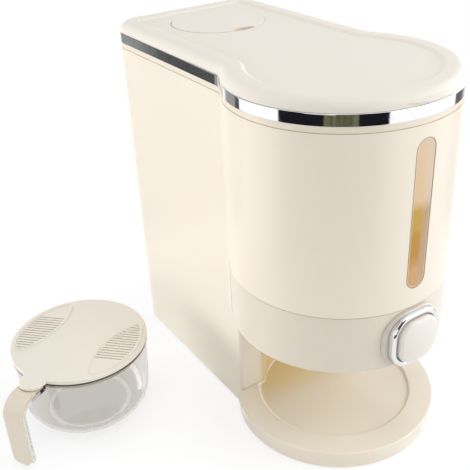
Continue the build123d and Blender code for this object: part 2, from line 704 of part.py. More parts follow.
# Lid: a shell with a rounded shoulder, a recessed panel, an inner skirt and a well for the round cap.
well_r = CAP_R + 0.5
well_bore_r = well_r - CAP_SEAT
skirt_z = LID_Z - LID_SKIRT_DROP
gasket_z = LID_Z - GASKET_DROP
with BuildPart() as lid:
    with BuildSketch(Plane.XY.offset(LID_Z)):
        add(keyhole(0))
    extrude(amount=LID_H)
    fillet(lid.edges().group_by(Axis.Z)[-1], LID_SHOULDER_R)
    with BuildSketch(Plane.XY.offset(PANEL_Z)):
        add(keyhole(LID_PANEL_INSET))
    extrude(amount=LID_PANEL_DEPTH, taper=-LID_PANEL_SLOPE, mode=Mode.SUBTRACT)
    fillet(lid.faces().sort_by(Axis.Z)[-1].inner_wires()[0].edges(), LID_PANEL_TOP_R)
    panel_faces = [f for f in lid.faces().filter_by(Plane.XY) if abs(f.center().Z - PANEL_Z) < 0.01]
    fillet(panel_faces[0].outer_wire().edges(), LID_PANEL_FOOT_R)
    add(lip_band.part)
    # hollow underside
    with BuildSketch(Plane.XY.offset(LID_Z)):
        add(keyhole(LID_EDGE_T))
    extrude(amount=LID_UNDER - LID_Z, mode=Mode.SUBTRACT)
    with BuildSketch(Plane.XY.offset(skirt_z)):
        add(ring(LID_SKIRT_OUT, LID_SKIRT_IN))
    extrude(amount=LID_UNDER - skirt_z + LID_PLATE / 2)
    with BuildSketch(Plane.XY.offset(gasket_z)):
        add(ring(LID_SKIRT_OUT, LID_SKIRT_OUT + GASKET_DEPTH))
    extrude(amount=GASKET_H, mode=Mode.SUBTRACT)
    # well
    with BuildSketch(Plane.XY.offset(CAP_LEDGE_Z - CAP_LEDGE_T)):
        with Locations((0, CAP_Y)):
            Circle(well_r + LID_PLATE)
    extrude(amount=LID_UNDER - CAP_LEDGE_Z + CAP_LEDGE_T + LID_PLATE / 2)
    with BuildSketch(Plane.XY.offset(CAP_LEDGE_Z)):
        with Locations((0, CAP_Y)):
            Circle(well_r)
    extrude(amount=CAP_DEPTH + 1, mode=Mode.SUBTRACT)
    with BuildSketch(Plane.XY.offset(CAP_LEDGE_Z - 4)):
        with Locations((0, CAP_Y)):
            Circle(well_bore_r)
    extrude(amount=6, mode=Mode.SUBTRACT)
    # arm and knuckle of the hinge
    with BuildSketch(Plane.XY.offset(HINGE_Z - 0.2)):
        with Locations((0, (REAR_Y - 2 + HINGE_Y) / 2)):
            Rectangle(2 * KNUCKLE_HALF, HINGE_Y - REAR_Y + 2)
    extrude(amount=KNUCKLE_R + 0.2)
    with BuildSketch(Plane(origin=(-KNUCKLE_HALF, HINGE_Y, HINGE_Z), x_dir=(0, 1, 0), z_dir=(1, 0, 0))):
        Circle(KNUCKLE_R)
    extrude(amount=2 * KNUCKLE_HALF)
    with BuildSketch(Plane(origin=(-KNUCKLE_HALF, HINGE_Y, HINGE_Z), x_dir=(0, 1, 0), z_dir=(1, 0, 0))):
        Circle(PIN_BORE_R)
    extrude(amount=2 * KNUCKLE_HALF, mode=Mode.SUBTRACT)
lid.part.label = "lid"
export_step(lid.part, "parts/lid.step")

with BuildPart() as lid_gasket:
    with BuildSketch(Plane.XY.offset(gasket_z + SNUG / 2)):
        add(ring(SPIGOT_IN + LOOSE, LID_SKIRT_OUT + GASKET_DEPTH - SNUG))
    extrude(amount=GASKET_H - SNUG)
lid_gasket.part.label = "lid_gasket"
export_step(lid_gasket.part, "parts/lid_gasket.step")

# Basket for a drying sachet, hung on the well's ledge.
basket_r = well_bore_r - 0.6
basket_z = CAP_LEDGE_Z - BASKET_DROP
with BuildPart() as desiccant_box:
    with BuildSketch(Plane.XY.offset(basket_z)):
        with Locations((0, CAP_Y)):
            Circle(basket_r)
    extrude(amount=CAP_LEDGE_Z + SNUG - basket_z)
    with BuildSketch(Plane.XY.offset(CAP_LEDGE_Z + SNUG)):
        with Locations((0, CAP_Y)):
            Circle(CAP_R - 0.2)
    extrude(amount=BASKET_FLANGE_T)
    with BuildSketch(Plane.XY.offset(basket_z + BASKET_WALL)):
        with Locations((0, CAP_Y)):
            Circle(basket_r - BASKET_WALL)
    extrude(amount=BASKET_DROP + 2, mode=Mode.SUBTRACT)
    with BuildSketch(Plane.XY.offset(basket_z)):
        rows = int((basket_r - 12) / BASKET_PITCH)
        for row in range(-rows, rows + 1):
            half_length = sqrt((basket_r - 8) ** 2 - (row * BASKET_PITCH) ** 2)
            with Locations((row * BASKET_PITCH, CAP_Y)):
                SlotOverall(2 * half_length, BASKET_SLOT, rotation=90)
    extrude(amount=BASKET_WALL, mode=Mode.SUBTRACT)
desiccant_box.part.label = "desiccant_box"
export_step(desiccant_box.part, "parts/desiccant_box.step")

# Round cap, with a crescent cut in its front edge for a fingertip.
cap_low = CAP_LEDGE_Z + SNUG + BASKET_FLANGE_T + LOOSE
cap_top = PANEL_Z + 0.6
with BuildPart() as desiccant_cap:
    with BuildSketch(Plane.XY.offset(cap_low)):
        with Locations((0, CAP_Y)):
            Circle(CAP_R)
    extrude(amount=cap_top - cap_low)
    fillet(desiccant_cap.edges().group_by(Axis.Z)[-1], 0.7)
    with BuildSketch(Plane.XY.offset(cap_low - 4)):
        with Locations((0, CAP_Y)):
            Circle(basket_r - BASKET_WALL - 0.6)
            Circle(basket_r - BASKET_WALL - 2.6, mode=Mode.SUBTRACT)
    extrude(amount=4)
    with BuildSketch(Plane.XY.offset(cap_low - 1)):
        with Locations((0, CAP_Y - CAP_R + NOTCH_IN - NOTCH_R)):
            Circle(NOTCH_R)
    extrude(amount=cap_top - cap_low + 2, mode=Mode.SUBTRACT)
desiccant_cap.part.label = "desiccant_cap"
export_step(desiccant_cap.part, "parts/desiccant_cap.step")

# Hinge bracket on the tank's rear face: a screwed plate and two ears.
with BuildPart() as hinge_bracket:
    bracket_half = KNUCKLE_HALF + KNUCKLE_GAP + EAR_T
    plate_y = REAR_Y + SNUG / 2
    with BuildSketch(Plane(origin=(0, plate_y, 0), x_dir=(-1, 0, 0), z_dir=(0, 1, 0))):
        with Locations((0, (PLATE_Z0 + PLATE_Z1) / 2)):
            RectangleRounded(2 * bracket_half, PLATE_Z1 - PLATE_Z0, 3)
    extrude(amount=PLATE_T)
    for ear_x in (-bracket_half, bracket_half - EAR_T):
        with BuildSketch(Plane(origin=(ear_x, 0, 0), x_dir=(0, 1, 0), z_dir=(1, 0, 0))):
            with BuildLine():
                Polyline(
                    (plate_y + PLATE_T / 2, PLATE_Z1 - 12),
                    (HINGE_Y + EAR_R, HINGE_Z - 8),
                    (HINGE_Y + EAR_R, HINGE_Z),
                    (HINGE_Y - EAR_R, HINGE_Z),
                    (HINGE_Y - EAR_R, PLATE_Z1 - 1),
                    (plate_y + PLATE_T / 2, PLATE_Z1 - 1),
                    close=True,
                )
            make_face()
            with Locations((HINGE_Y, HINGE_Z)):
                Circle(EAR_R)
        extrude(amount=EAR_T)
    with BuildSketch(Plane(origin=(-bracket_half, HINGE_Y, HINGE_Z), x_dir=(0, 1, 0), z_dir=(1, 0, 0))):
        Circle(PIN_BORE_R)
    extrude(amount=2 * bracket_half, mode=Mode.SUBTRACT)
    for screw_z in screw_rows:
        for screw_x in screw_columns:
            with BuildSketch(Plane(origin=(screw_x, plate_y, screw_z), x_dir=(-1, 0, 0), z_dir=(0, 1, 0))):
                Circle(PILOT_R)
            extrude(amount=PLATE_T, mode=Mode.SUBTRACT)
hinge_bracket.part.label = "hinge_bracket"
export_step(hinge_bracket.part, "parts/hinge_bracket.step")

with BuildPart() as hinge_pin:
    with BuildSketch(Plane(origin=(-bracket_half - 1, HINGE_Y, HINGE_Z), x_dir=(0, 1, 0), z_dir=(1, 0, 0))):
        Circle(PIN_R)
    extrude(amount=2 * bracket_half + 1 + SNUG)
    with BuildSketch(
        Plane(origin=(bracket_half + SNUG, HINGE_Y, HINGE_Z), x_dir=(0, 1, 0), z_dir=(1, 0, 0))
    ):
        Circle(PIN_HEAD_R)
    extrude(amount=HEAD_T)
hinge_pin.part.label = "hinge_pin"
export_step(hinge_pin.part, "parts/hinge_pin.step")

with BuildPart() as bracket_screws:
    head_y = plate_y + PLATE_T
    for screw_z in screw_rows:
        for screw_x in screw_columns:
            with BuildSketch(Plane(origin=(screw_x, head_y, screw_z), x_dir=(-1, 0, 0), z_dir=(0, 1, 0))):
                Circle(HEAD_R)
            extrude(amount=HEAD_T)
            screw_tip = (screw_x, head_y - 8, screw_z)
            with BuildSketch(Plane(origin=screw_tip, x_dir=(-1, 0, 0), z_dir=(0, 1, 0))):
                Circle(SCREW_R)
            extrude(amount=8)
bracket_screws.part.label = "bracket_screws"
export_step(bracket_screws.part, "parts/bracket_screws.step")

# Sight window: an amber lens that fills the slot, flanged behind, on a soft gasket.
lens_out = DRUM_R - LENS_RECESS
gasket_out = DRUM_R - WALL - SNUG / 2
gasket_in = gasket_out - GASKET_T
flange_out = gasket_in - SNUG / 2
flange_in = flange_out - LENS_FLANGE_T
with BuildPart() as window_lens:
    add(drum_band(lens_out, flange_in, SEAM_Z, SHELL_TOP))
    add(window_prism(-0.15), mode=Mode.INTERSECT)
    add(drum_band(flange_out, flange_in, SEAM_Z, SHELL_TOP) & window_prism(WINDOW_FLANGE))
window_lens.part.label = "window_lens"
export_step(window_lens.part, "parts/window_lens.step")

with BuildPart() as window_gasket:
    add(drum_band(gasket_out, gasket_in, SEAM_Z, SHELL_TOP))
    add(window_prism(WINDOW_FLANGE), mode=Mode.INTERSECT)
    add(window_prism(0), mode=Mode.SUBTRACT)
window_gasket.part.label = "window_gasket"
export_step(window_gasket.part, "parts/window_gasket.step")

# Funnel: a cone under the drum and a sloping floor under the tank, in one moulding.
floor_run = REAR_Y - TROUGH_Y
floor_rise = TROUGH_SLOPE * floor_run


def above_floor(lift):
    """Everything over the tank's sloping floor, which can be lifted or lowered."""
    with BuildPart(mode=Mode.PRIVATE) as wedge:
        with BuildSketch(Plane.YZ):
            with BuildLine():
                Polyline(
                    (0, TROUGH_Z - TROUGH_SLOPE * TROUGH_Y + lift),
                    (REAR_Y + 10, TROUGH_Z + floor_rise + TROUGH_SLOPE * 10 + lift),
                    (REAR_Y + 10, SHELL_TOP),
                    (0, SHELL_TOP),
                    close=True,
                )
            make_face()
        extrude(amount=DRUM_R, both=True)
    return wedge.part


def trough(inset, front):
    """A block of the tank's plan, tall enough to be cut by the sloping floor."""
    with BuildPart(mode=Mode.PRIVATE) as block:
        with BuildSketch(Plane.XY.offset(CONE_TOP - 10)):
            add(tongue(inset, front))
        extrude(amount=SHELL_TOP - CONE_TOP)
    return block.part


with BuildPart() as hopper_floor:
    with BuildSketch(Plane.XZ):
        with BuildLine():
            Polyline(
                (0, NECK_Z),
                (NECK_R + HOPPER_WALL, NECK_Z),
                (NECK_R + HOPPER_WALL, NECK_Z + NECK_H),
                (CONE_R, CONE_TOP),
                (CONE_R, CONE_TOP + HOPPER_RIM),
                (0, CONE_TOP + HOPPER_RIM),
                close=True,
            )
        make_face()
    revolve(axis=Axis.Z, revolution_arc=360)
    # flange that sits on the collar's spigot, open behind the window
    with BuildSketch(Plane.XY.offset(SPIGOT_TOP)):
        Circle(DRUM_R - SPIGOT_OUT)
        Circle(CONE_R - 6, mode=Mode.SUBTRACT)
        with Locations((0, COLUMN_Y - 15 + DRUM_R)):
            Rectangle(4 * DRUM_R, 2 * DRUM_R, mode=Mode.SUBTRACT)
        with Locations((0, 1.7 - CONE_R - 40)):
            Rectangle(WINDOW_W + 2 * WINDOW_FLANGE + 4, 80, mode=Mode.SUBTRACT)
    extrude(amount=CONE_TOP - SPIGOT_TOP)
    # riser behind the drum, up to the sloping floor
    with BuildSketch(Plane.XY.offset(CONE_TOP)):
        Circle(CONE_R)
        with Locations((0, COLUMN_Y + 10 - DRUM_R)):
            Rectangle(4 * DRUM_R, 2 * DRUM_R, mode=Mode.SUBTRACT)
    extrude(amount=40)
    add(trough(SPIGOT_OUT, COLUMN_Y + 10) & above_floor(-HOPPER_WALL))
    add(above_floor(TROUGH_SIDE), mode=Mode.SUBTRACT)
    add(trough(SPIGOT_OUT + HOPPER_WALL, COLUMN_Y - 5) & above_floor(0), mode=Mode.SUBTRACT)
    # the rice's way down
    cone_rise = CONE_TOP - NECK_Z - NECK_H
    cone_lift = HOPPER_WALL * hypot(cone_rise, CONE_R - NECK_R) / (CONE_R - NECK_R) - 0.3
    with BuildSketch(Plane.XZ):
        with BuildLine():
            Polyline(
                (0, NECK_Z - 1),
                (NECK_R, NECK_Z - 1),
                (NECK_R, NECK_Z + NECK_H + cone_lift - 1.1),
                (CONE_R - HOPPER_WALL, CONE_TOP + cone_lift - 1.1),
                (CONE_R - HOPPER_WALL, SHELL_TOP),
                (0, SHELL_TOP),
                close=True,
            )
        make_face()
    revolve(axis=Axis.Z, revolution_arc=360, mode=Mode.SUBTRACT)
hopper_floor.part.label = "hopper_floor"
export_step(hopper_floor.part, "parts/hopper_floor.step")

with BuildPart() as hopper_seal:
    with BuildSketch(Plane.XY.offset(HOUSING_TOP)):
        Circle(NECK_R + HOPPER_WALL + 2)
        Circle(NECK_R, mode=Mode.SUBTRACT)
    extrude(amount=SEAL_T)
hopper_seal.part.label = "hopper_seal"
export_step(hopper_seal.part, "parts/hopper_seal.step")

# Gate housing: a block with a flat channel, an inlet slot above and a round outlet below.
with BuildPart() as gate_housing:
    with BuildSketch(Plane.XY.offset(HOUSING_Z)):
        with Locations((0, (HOUSING_Y0 + HOUSING_Y1) / 2)):
            RectangleRounded(2 * HOUSING_HALF, HOUSING_Y1 - HOUSING_Y0, 3)
    extrude(amount=HOUSING_TOP - HOUSING_Z)
    with BuildSketch(Plane.XY.offset(LUG_Z)):
        with GridLocations(2 * LUG_X, 2 * LUG_Y, 2, 2):
            Circle(LUG_R)
        for lug_y in (-LUG_Y, LUG_Y):
            with Locations((0, lug_y)):
                Rectangle(2 * LUG_X, 2 * LUG_R)
    extrude(amount=LUG_T)
    with BuildSketch(Plane.XY.offset(CHANNEL_Z)):
        with Locations((0, (HOUSING_Y0 - 1 + CHANNEL_Y1) / 2)):
            Rectangle(2 * CHANNEL_HALF, CHANNEL_Y1 - HOUSING_Y0 + 1)
    extrude(amount=CHANNEL_H, mode=Mode.SUBTRACT)
    with BuildSketch(Plane.XY.offset(CHANNEL_Z + CHANNEL_H - 1)):
        Rectangle(SLOT_X, SLOT_Y)
    extrude(amount=HOUSING_TOP - CHANNEL_Z, mode=Mode.SUBTRACT)
    with BuildSketch(Plane.XY.offset(HOUSING_TOP - 3)):
        Rectangle(SLOT_X, SLOT_Y)
    extrude(amount=3, taper=-35, mode=Mode.SUBTRACT)
    with BuildSketch(Plane.XY.offset(HOUSING_Z - 1)):
        Circle(OUTLET_R)
    extrude(amount=CHANNEL_Z - HOUSING_Z + 2, mode=Mode.SUBTRACT)
    with BuildSketch(Plane.XY.offset(LUG_Z)):
        with GridLocations(2 * LUG_X, 2 * LUG_Y, 2, 2):
            Circle(PILOT_R)
    extrude(amount=LUG_T, mode=Mode.SUBTRACT)
gate_housing.part.label = "gate_housing"
export_step(gate_housing.part, "parts/gate_housing.step")

with BuildPart() as housing_screws:
    with BuildSketch(Plane.XY.offset(LUG_Z + LUG_T)):
        with GridLocations(2 * LUG_X, 2 * LUG_Y, 2, 2):
            Circle(HEAD_R)
    extrude(amount=HEAD_T)
    with BuildSketch(Plane.XY.offset(LUG_Z + LUG_T - 10)):
        with GridLocations(2 * LUG_X, 2 * LUG_Y, 2, 2):
            Circle(SCREW_R)
    extrude(amount=10)
housing_screws.part.label = "housing_screws"
export_step(housing_screws.part, "parts/housing_screws.step")

with BuildPart() as outlet_spout:
    with BuildSketch(Plane.XY.offset(COLLAR_Z - SPOUT_DROP)):
        Circle(SPOUT_R + SPOUT_WALL)
        Circle(SPOUT_R, mode=Mode.SUBTRACT)
    extrude(amount=COLLAR_FLOOR_Z + SNUG / 2 + SPOUT_FLANGE_T - COLLAR_Z + SPOUT_DROP)
    with BuildSketch(Plane.XY.offset(COLLAR_FLOOR_Z + SNUG / 2)):
        Circle(SPOUT_R + SPOUT_FLANGE)
        Circle(SPOUT_R, mode=Mode.SUBTRACT)
    extrude(amount=SPOUT_FLANGE_T)
outlet_spout.part.label = "outlet_spout"
export_step(outlet_spout.part, "parts/outlet_spout.step")

# Surround: a soft raised frame on the collar.
hole_w = RING_W + LOOSE
hole_h = RING_H + LOOSE
surround_r = DRUM_R + SURROUND_PROUD
with BuildPart() as button_surround:
    with BuildSketch(front_plane(-DRUM_R - 10)):
        add(front_box(SURROUND_W, SURROUND_H, SURROUND_CORNER_R))
    extrude(amount=40)
    add(drum_band(surround_r, COLLAR_R + SNUG / 2, COLLAR_Z - 5, SEAM_Z + 5), mode=Mode.INTERSECT)
    rim = button_surround.faces().filter_by(GeomType.CYLINDER).sort_by(Axis.Y)
    front_skin = [f for f in rim if abs(f.radius - surround_r) < 0.01 and f.center().Y < -90][0]
    fillet(front_skin.outer_wire().edges(), SURROUND_EDGE_R)
    with BuildSketch(front_plane(-DRUM_R - 10)):
        add(front_box(hole_w, hole_h, RING_CORNER_R + LOOSE / 2))
    extrude(amount=40, mode=Mode.SUBTRACT)
button_surround.part.label = "button_surround"
export_step(button_surround.part, "parts/button_surround.step")

# Chrome ring, with a sleeve through the collar's opening.
ring_seat_y = -COLLAR_R - SNUG
ring_bore = BUTTON_W + 2 * BUTTON_PLAY
with BuildPart() as button_bezel:
    with BuildSketch(front_plane(RING_FACE_Y)):
        add(front_box(RING_W, RING_H, RING_CORNER_R))
        add(front_box(ring_bore, ring_bore, BUTTON_CORNER_R + BUTTON_PLAY), mode=Mode.SUBTRACT)
    extrude(amount=ring_seat_y - RING_FACE_Y)
    fillet(button_bezel.edges().group_by(Axis.Y)[0], RING_ROUND)
    with BuildSketch(front_plane(ring_seat_y)):
        add(front_box(RING_W - 2 * SLEEVE_IN, RING_H - 2 * SLEEVE_IN, RING_CORNER_R - SLEEVE_IN))
        add(front_box(ring_bore, ring_bore, BUTTON_CORNER_R + BUTTON_PLAY), mode=Mode.SUBTRACT)
    extrude(amount=SLEEVE_L)
button_bezel.part.label = "button_bezel"
export_step(button_bezel.part, "parts/button_bezel.step")

# Domed push button, a thin shell with a socket for the rod.
dome_y = BUTTON_NOSE_Y + BUTTON_DOME_R
inner_w = BUTTON_W - 2 * BUTTON_WALL
with BuildPart(mode=Mode.PRIVATE) as dome_outside:
    with Locations((0, dome_y, BUTTON_Z)):
        Sphere(BUTTON_DOME_R)
with BuildPart(mode=Mode.PRIVATE) as dome_inside:
    with BuildSketch(front_plane(BUTTON_NOSE_Y - 1)):
        add(front_box(inner_w, inner_w, BUTTON_CORNER_R - BUTTON_WALL))
    extrude(amount=BUTTON_SKIRT_Y - BUTTON_NOSE_Y + 2)
    with Locations((0, dome_y, BUTTON_Z)):
        Sphere(BUTTON_DOME_R - BUTTON_WALL, mode=Mode.INTERSECT)
with BuildPart() as button_cap:
    with BuildSketch(front_plane(BUTTON_NOSE_Y - 1)):
        add(front_box(BUTTON_W, BUTTON_W, BUTTON_CORNER_R))
    extrude(amount=BUTTON_SKIRT_Y - BUTTON_NOSE_Y + 1)
    add(dome_outside.part, mode=Mode.INTERSECT)
    dome_face = button_cap.faces().filter_by(GeomType.SPHERE)[0]
    fillet(dome_face.outer_wire().edges(), BUTTON_EDGE_R)
    add(dome_inside.part, mode=Mode.SUBTRACT)
    with BuildSketch(front_plane(BUTTON_NOSE_Y + BUTTON_WALL / 2)):
        Circle(STOP_R)
    extrude(amount=SEAT_Y - 4 - BUTTON_NOSE_Y - BUTTON_WALL / 2)
    with BuildSketch(front_plane(ROD_TIP_Y - SNUG)):
        Circle(ROD_R + SNUG)
    extrude(amount=20, mode=Mode.SUBTRACT)
button_cap.part.label = "button_cap"
export_step(button_cap.part, "parts/button_cap.step")

# Push rod, with a stop behind the guide rib and a seat for the spring.
with BuildPart() as push_rod:
    with BuildSketch(front_plane(ROD_TIP_Y)):
        Circle(ROD_R)
    extrude(amount=GATE_Y0 - ROD_TIP_Y)
    with BuildSketch(front_plane(RIB_Y1 + LOOSE)):
        Circle(STOP_R)
    extrude(amount=STOP_T)
    with BuildSketch(front_plane(SEAT_Y)):
        Circle(SEAT_R)
    extrude(amount=SEAT_T)
push_rod.part.label = "push_rod"
export_step(push_rod.part, "parts/push_rod.step")

# Sliding gate.
with BuildPart() as gate:
    with BuildSketch(Plane.XY.offset(CHANNEL_Z + GATE_PLAY)):
        with Locations((0, (GATE_Y0 + GATE_Y1) / 2)):
            Rectangle(2 * (CHANNEL_HALF - LOOSE), GATE_Y1 - GATE_Y0)
        with Locations((0, -TRAVEL)):
            Rectangle(SLOT_X, SLOT_Y, mode=Mode.SUBTRACT)
    extrude(amount=CHANNEL_H - 2 * GATE_PLAY)
gate.part.label = "gate"
export_step(gate.part, "parts/gate.step")

# Return spring: one wire on half-turn biarcs, between the rod's seat and the guide rib.
spring_y0 = SEAT_Y + SEAT_T + WIRE_R + SNUG / 2
spring_y1 = RIB_Y0 - WIRE_R - SNUG / 2
spring_pitch = (spring_y1 - spring_y0) / SPRING_TURNS


def spring_point(turn):
    """Centre of the wire after so many turns."""
    angle = 2 * pi * turn
    return Vector(SPRING_R * cos(angle), spring_y0 + spring_pitch * turn, BUTTON_Z + SPRING_R * sin(angle))


def spring_heading(turn):
    """Unit tangent of the wire after so many turns."""
    angle = 2 * pi * turn
    run = 2 * pi * SPRING_R
    return Vector(-run * sin(angle), spring_pitch, run * cos(angle)).normalized()


def biarc(start, start_dir, end, end_dir):
    """Two arcs that leave along one heading, meet smoothly and arrive along the other."""
    chord = end - start
    both = start_dir + end_dir
    a = both.dot(both) - 4
    b = -2 * chord.dot(both)
    c = chord.dot(chord)
    reach = (-b - sqrt(b * b - 4 * a * c)) / (2 * a)
    if reach < 0:
        reach = (-b + sqrt(b * b - 4 * a * c)) / (2 * a)
    first = start + start_dir * reach
    last = end - end_dir * reach
    middle = (first + last) * 0.5
    return (
        TangentArc(start, middle, tangent=start_dir),
        TangentArc(end, middle, tangent=end_dir * -1),
    )


quarters = 4 * SPRING_TURNS
with BuildPart() as return_spring:
    with BuildLine() as spring_path:
        for quarter in range(quarters):
            t0 = quarter / 4
            t1 = (quarter + 1) / 4
            biarc(spring_point(t0), spring_heading(t0), spring_point(t1), spring_heading(t1))
    with BuildSketch(Plane(origin=spring_point(0), z_dir=spring_heading(0))):
        Circle(WIRE_R)
    sweep(path=spring_path.wire())
return_spring.part.label = "return_spring"
export_step(return_spring.part, "parts/return_spring.step")

steps = 48
samples = [spring_point(i / steps) for i in range(steps * SPRING_TURNS + 1)]
least = min(
    (p - q).length - 2 * WIRE_R
    for i, p in enumerate(samples)
    for q in samples[i + steps // 2 :]
)
print("spring: least gap to itself", round(least, 2), "mm")

# Measuring cup: one clear moulding with a ring foot and the handle's strap.
strap_in = STRAP_OUT - STRAP_T
strap_low = STRAP_TOP - STRAP_T
cup_axis = Axis((CUP_X, CUP_Y, 0), (0, 0, 1))
cup_floor_z = CUP_BASE_Z + CUP_WALL
cup_bore_r = CUP_RIM_R - CUP_WALL
with BuildPart() as cup_body:
    with BuildSketch(CUP_PLANE):
        add(
            rounded_outline(
                (0, CUP_BASE_Z, 0),
                (CUP_RIM_R - CUP_TAPER, CUP_BASE_Z, CUP_CORNER_R),
                (CUP_RIM_R, CUP_RIM_Z, 0),
                (0, CUP_RIM_Z, 0),
            )
        )
    revolve(axis=cup_axis, revolution_arc=360)
    with BuildSketch(Plane.XY):
        with Locations((CUP_X, CUP_Y)):
            Circle(CUP_RIM_R - CUP_RING_IN + CUP_RING_W)
            Circle(CUP_RIM_R - CUP_RING_IN, mode=Mode.SUBTRACT)
    extrude(amount=CUP_BASE_Z + 1)
    with BuildSketch(CUP_PLANE):
        add(
            rounded_outline(
                (CUP_RIM_R - 4, strap_low, 0),
                (CUP_RIM_R - 4, STRAP_TOP, 0),
                (STRAP_OUT, STRAP_TOP, STRAP_CORNER_R),
                (STRAP_OUT, STRAP_BOTTOM, STRAP_END_R),
                (strap_in, STRAP_BOTTOM, STRAP_END_R),
                (strap_in, strap_low, STRAP_CORNER_R - STRAP_T),
            )
        )
    extrude(amount=STRAP_HALF, both=True)
    with BuildSketch(CUP_PLANE):
        add(
            rounded_outline(
                (0, cup_floor_z, 0),
                (cup_bore_r - CUP_TAPER, cup_floor_z, CUP_CORNER_R - CUP_WALL),
                (cup_bore_r, CUP_RIM_Z, 0),
                (cup_bore_r, CUP_RIM_Z + 5, 0),
                (0, CUP_RIM_Z + 5, 0),
            )
        )
    revolve(axis=cup_axis, revolution_arc=360, mode=Mode.SUBTRACT)
cup_body.part.label = "cup_body"
export_step(cup_body.part, "parts/cup_body.step")

# Cover on the outside of the handle.
shell_in = STRAP_OUT + LOOSE
shell_out = shell_in + COVER_SHELL
shell_low = STRAP_TOP + LOOSE
cover_in = CUP_RIM_R + COVER_REACH
with BuildPart() as cup_handle_cover:
    with BuildSketch(CUP_PLANE):
        add(
            rounded_outline(
                (cover_in, shell_low, COVER_EDGE_R),
                (cover_in, shell_low + COVER_SHELL, COVER_EDGE_R),
                (shell_out, shell_low + COVER_SHELL, STRAP_CORNER_R + COVER_SHELL),
                (shell_out, STRAP_BOTTOM - 1, STRAP_END_R),
                (shell_in, STRAP_BOTTOM - 1, STRAP_END_R),
                (shell_in, shell_low, STRAP_CORNER_R),
            )
        )
    extrude(amount=COVER_HALF, both=True)
    side_faces = [f for f in cup_handle_cover.faces() if abs(f.normal_at().dot(CUP_PLANE.z_dir)) > 0.99]
    fillet([e for f in side_faces for e in f.outer_wire().edges()], COVER_EDGE_R)
    with BuildSketch(Plane(origin=(CUP_X, CUP_Y, 0), x_dir=-CUP_PLANE.z_dir, z_dir=CUP_PLANE.x_dir)):
        with Locations((0, STRAP_BOTTOM - 1 + CUP_LID_TOP / 2)):
            RectangleRounded(2 * COVER_HALF + LOOSE, CUP_LID_TOP, COVER_END_R)
    extrude(amount=shell_out + 1, mode=Mode.INTERSECT)
cup_handle_cover.part.label = "cup_handle_cover"
export_step(cup_handle_cover.part, "parts/cup_handle_cover.step")

# Cup lid: a thin plate with a rim, a plug, a tab over the handle and two fields of drain slots.
plate_low = CUP_LID_TOP - CUP_LID_PLATE
field_azimuths = (HANDLE_AZIMUTH + 90, HANDLE_AZIMUTH - 90)
with BuildPart() as cup_lid:
    with BuildSketch(Plane.XY.offset(CUP_LID_Z)):
        with Locations((CUP_X, CUP_Y)):
            Circle(CUP_LID_R)
    extrude(amount=CUP_LID_TOP - CUP_LID_Z)
    with BuildSketch(Plane.XY.offset(CUP_LID_Z)):
        with Locations((CUP_X, CUP_Y)):
            Circle(PLUG_IN_R)
    extrude(amount=plate_low - CUP_LID_Z, mode=Mode.SUBTRACT)
    with BuildSketch(Plane.XY.offset(PLUG_Z)):
        with Locations((CUP_X, CUP_Y)):
            Circle(PLUG_OUT_R)
            Circle(PLUG_IN_R, mode=Mode.SUBTRACT)
    extrude(amount=CUP_LID_Z - PLUG_Z)
    # the tab, joined to the disc by hollow corners
    with BuildSketch(Plane(origin=(CUP_X, CUP_Y, plate_low), x_dir=CUP_PLANE.x_dir, z_dir=(0, 0, 1))):
        Circle(CUP_LID_R)
        with Locations(((TAB_OUT - TAB_HALF) / 2, 0)):
            Rectangle(TAB_OUT - TAB_HALF, 2 * TAB_HALF)
        with Locations((TAB_OUT - TAB_HALF, 0)):
            Circle(TAB_HALF)
        Circle(CUP_LID_R - 6, mode=Mode.SUBTRACT)
    extrude(amount=CUP_LID_PLATE)
    fillet(cup_lid.edges().group_by(Axis.Z)[-1], CUP_LID_EDGE_R)
    # drain slots, cut to a lens between the rim and an arc towards the middle
    for azimuth in field_azimuths:
        slant = radians(DRAIN_SKEW)
        outward = (cos(radians(azimuth)), sin(radians(azimuth)), 0)
        with BuildSketch(Plane(origin=(CUP_X, CUP_Y, plate_low - 1), x_dir=outward, z_dir=(0, 0, 1))):
            for row in range(DRAIN_ROWS):
                shift = (row - (DRAIN_ROWS - 1) / 2) * DRAIN_PITCH
                start = (-shift * sin(slant), shift * cos(slant))
                heading = (cos(slant), sin(slant))
                along = start[0] * heading[0] + start[1] * heading[1]
                rim_end = sqrt((CUP_LID_R - DRAIN_RIM) ** 2 - shift**2) - along
                arc_x = start[0] - DRAIN_WAIST - DRAIN_ARC_R
                arc_along = arc_x * heading[0] + start[1] * heading[1]
                arc_off = arc_x**2 + start[1] ** 2 - DRAIN_ARC_R**2
                inner_end = -arc_along - sqrt(arc_along**2 - arc_off)
                length = rim_end - inner_end
                if length > 3 * DRAIN_SLOT:
                    middle = (rim_end + inner_end) / 2
                    with Locations((start[0] + middle * heading[0], start[1] + middle * heading[1])):
                        SlotOverall(length, DRAIN_SLOT, rotation=DRAIN_SKEW)
        extrude(amount=CUP_LID_PLATE + 2, mode=Mode.SUBTRACT)
cup_lid.part.label = "cup_lid"
export_step(cup_lid.part, "parts/cup_lid.step")

with BuildPart() as cup_lid_seal:
    with BuildSketch(Plane.XY.offset(CUP_RIM_Z + LOOSE)):
        with Locations((CUP_X, CUP_Y)):
            Circle(CUP_LID_R - SEAL_SHY)
            Circle(PLUG_OUT_R + SNUG, mode=Mode.SUBTRACT)
    extrude(amount=SEAL_H)
cup_lid_seal.part.label = "cup_lid_seal"
export_step(cup_lid_seal.part, "parts/cup_lid_seal.step")
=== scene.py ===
"""Looks for the push-button rice dispenser and its measuring cup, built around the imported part."""

import json
import math

import bmesh
import bpy
from mathutils import Matrix, Vector


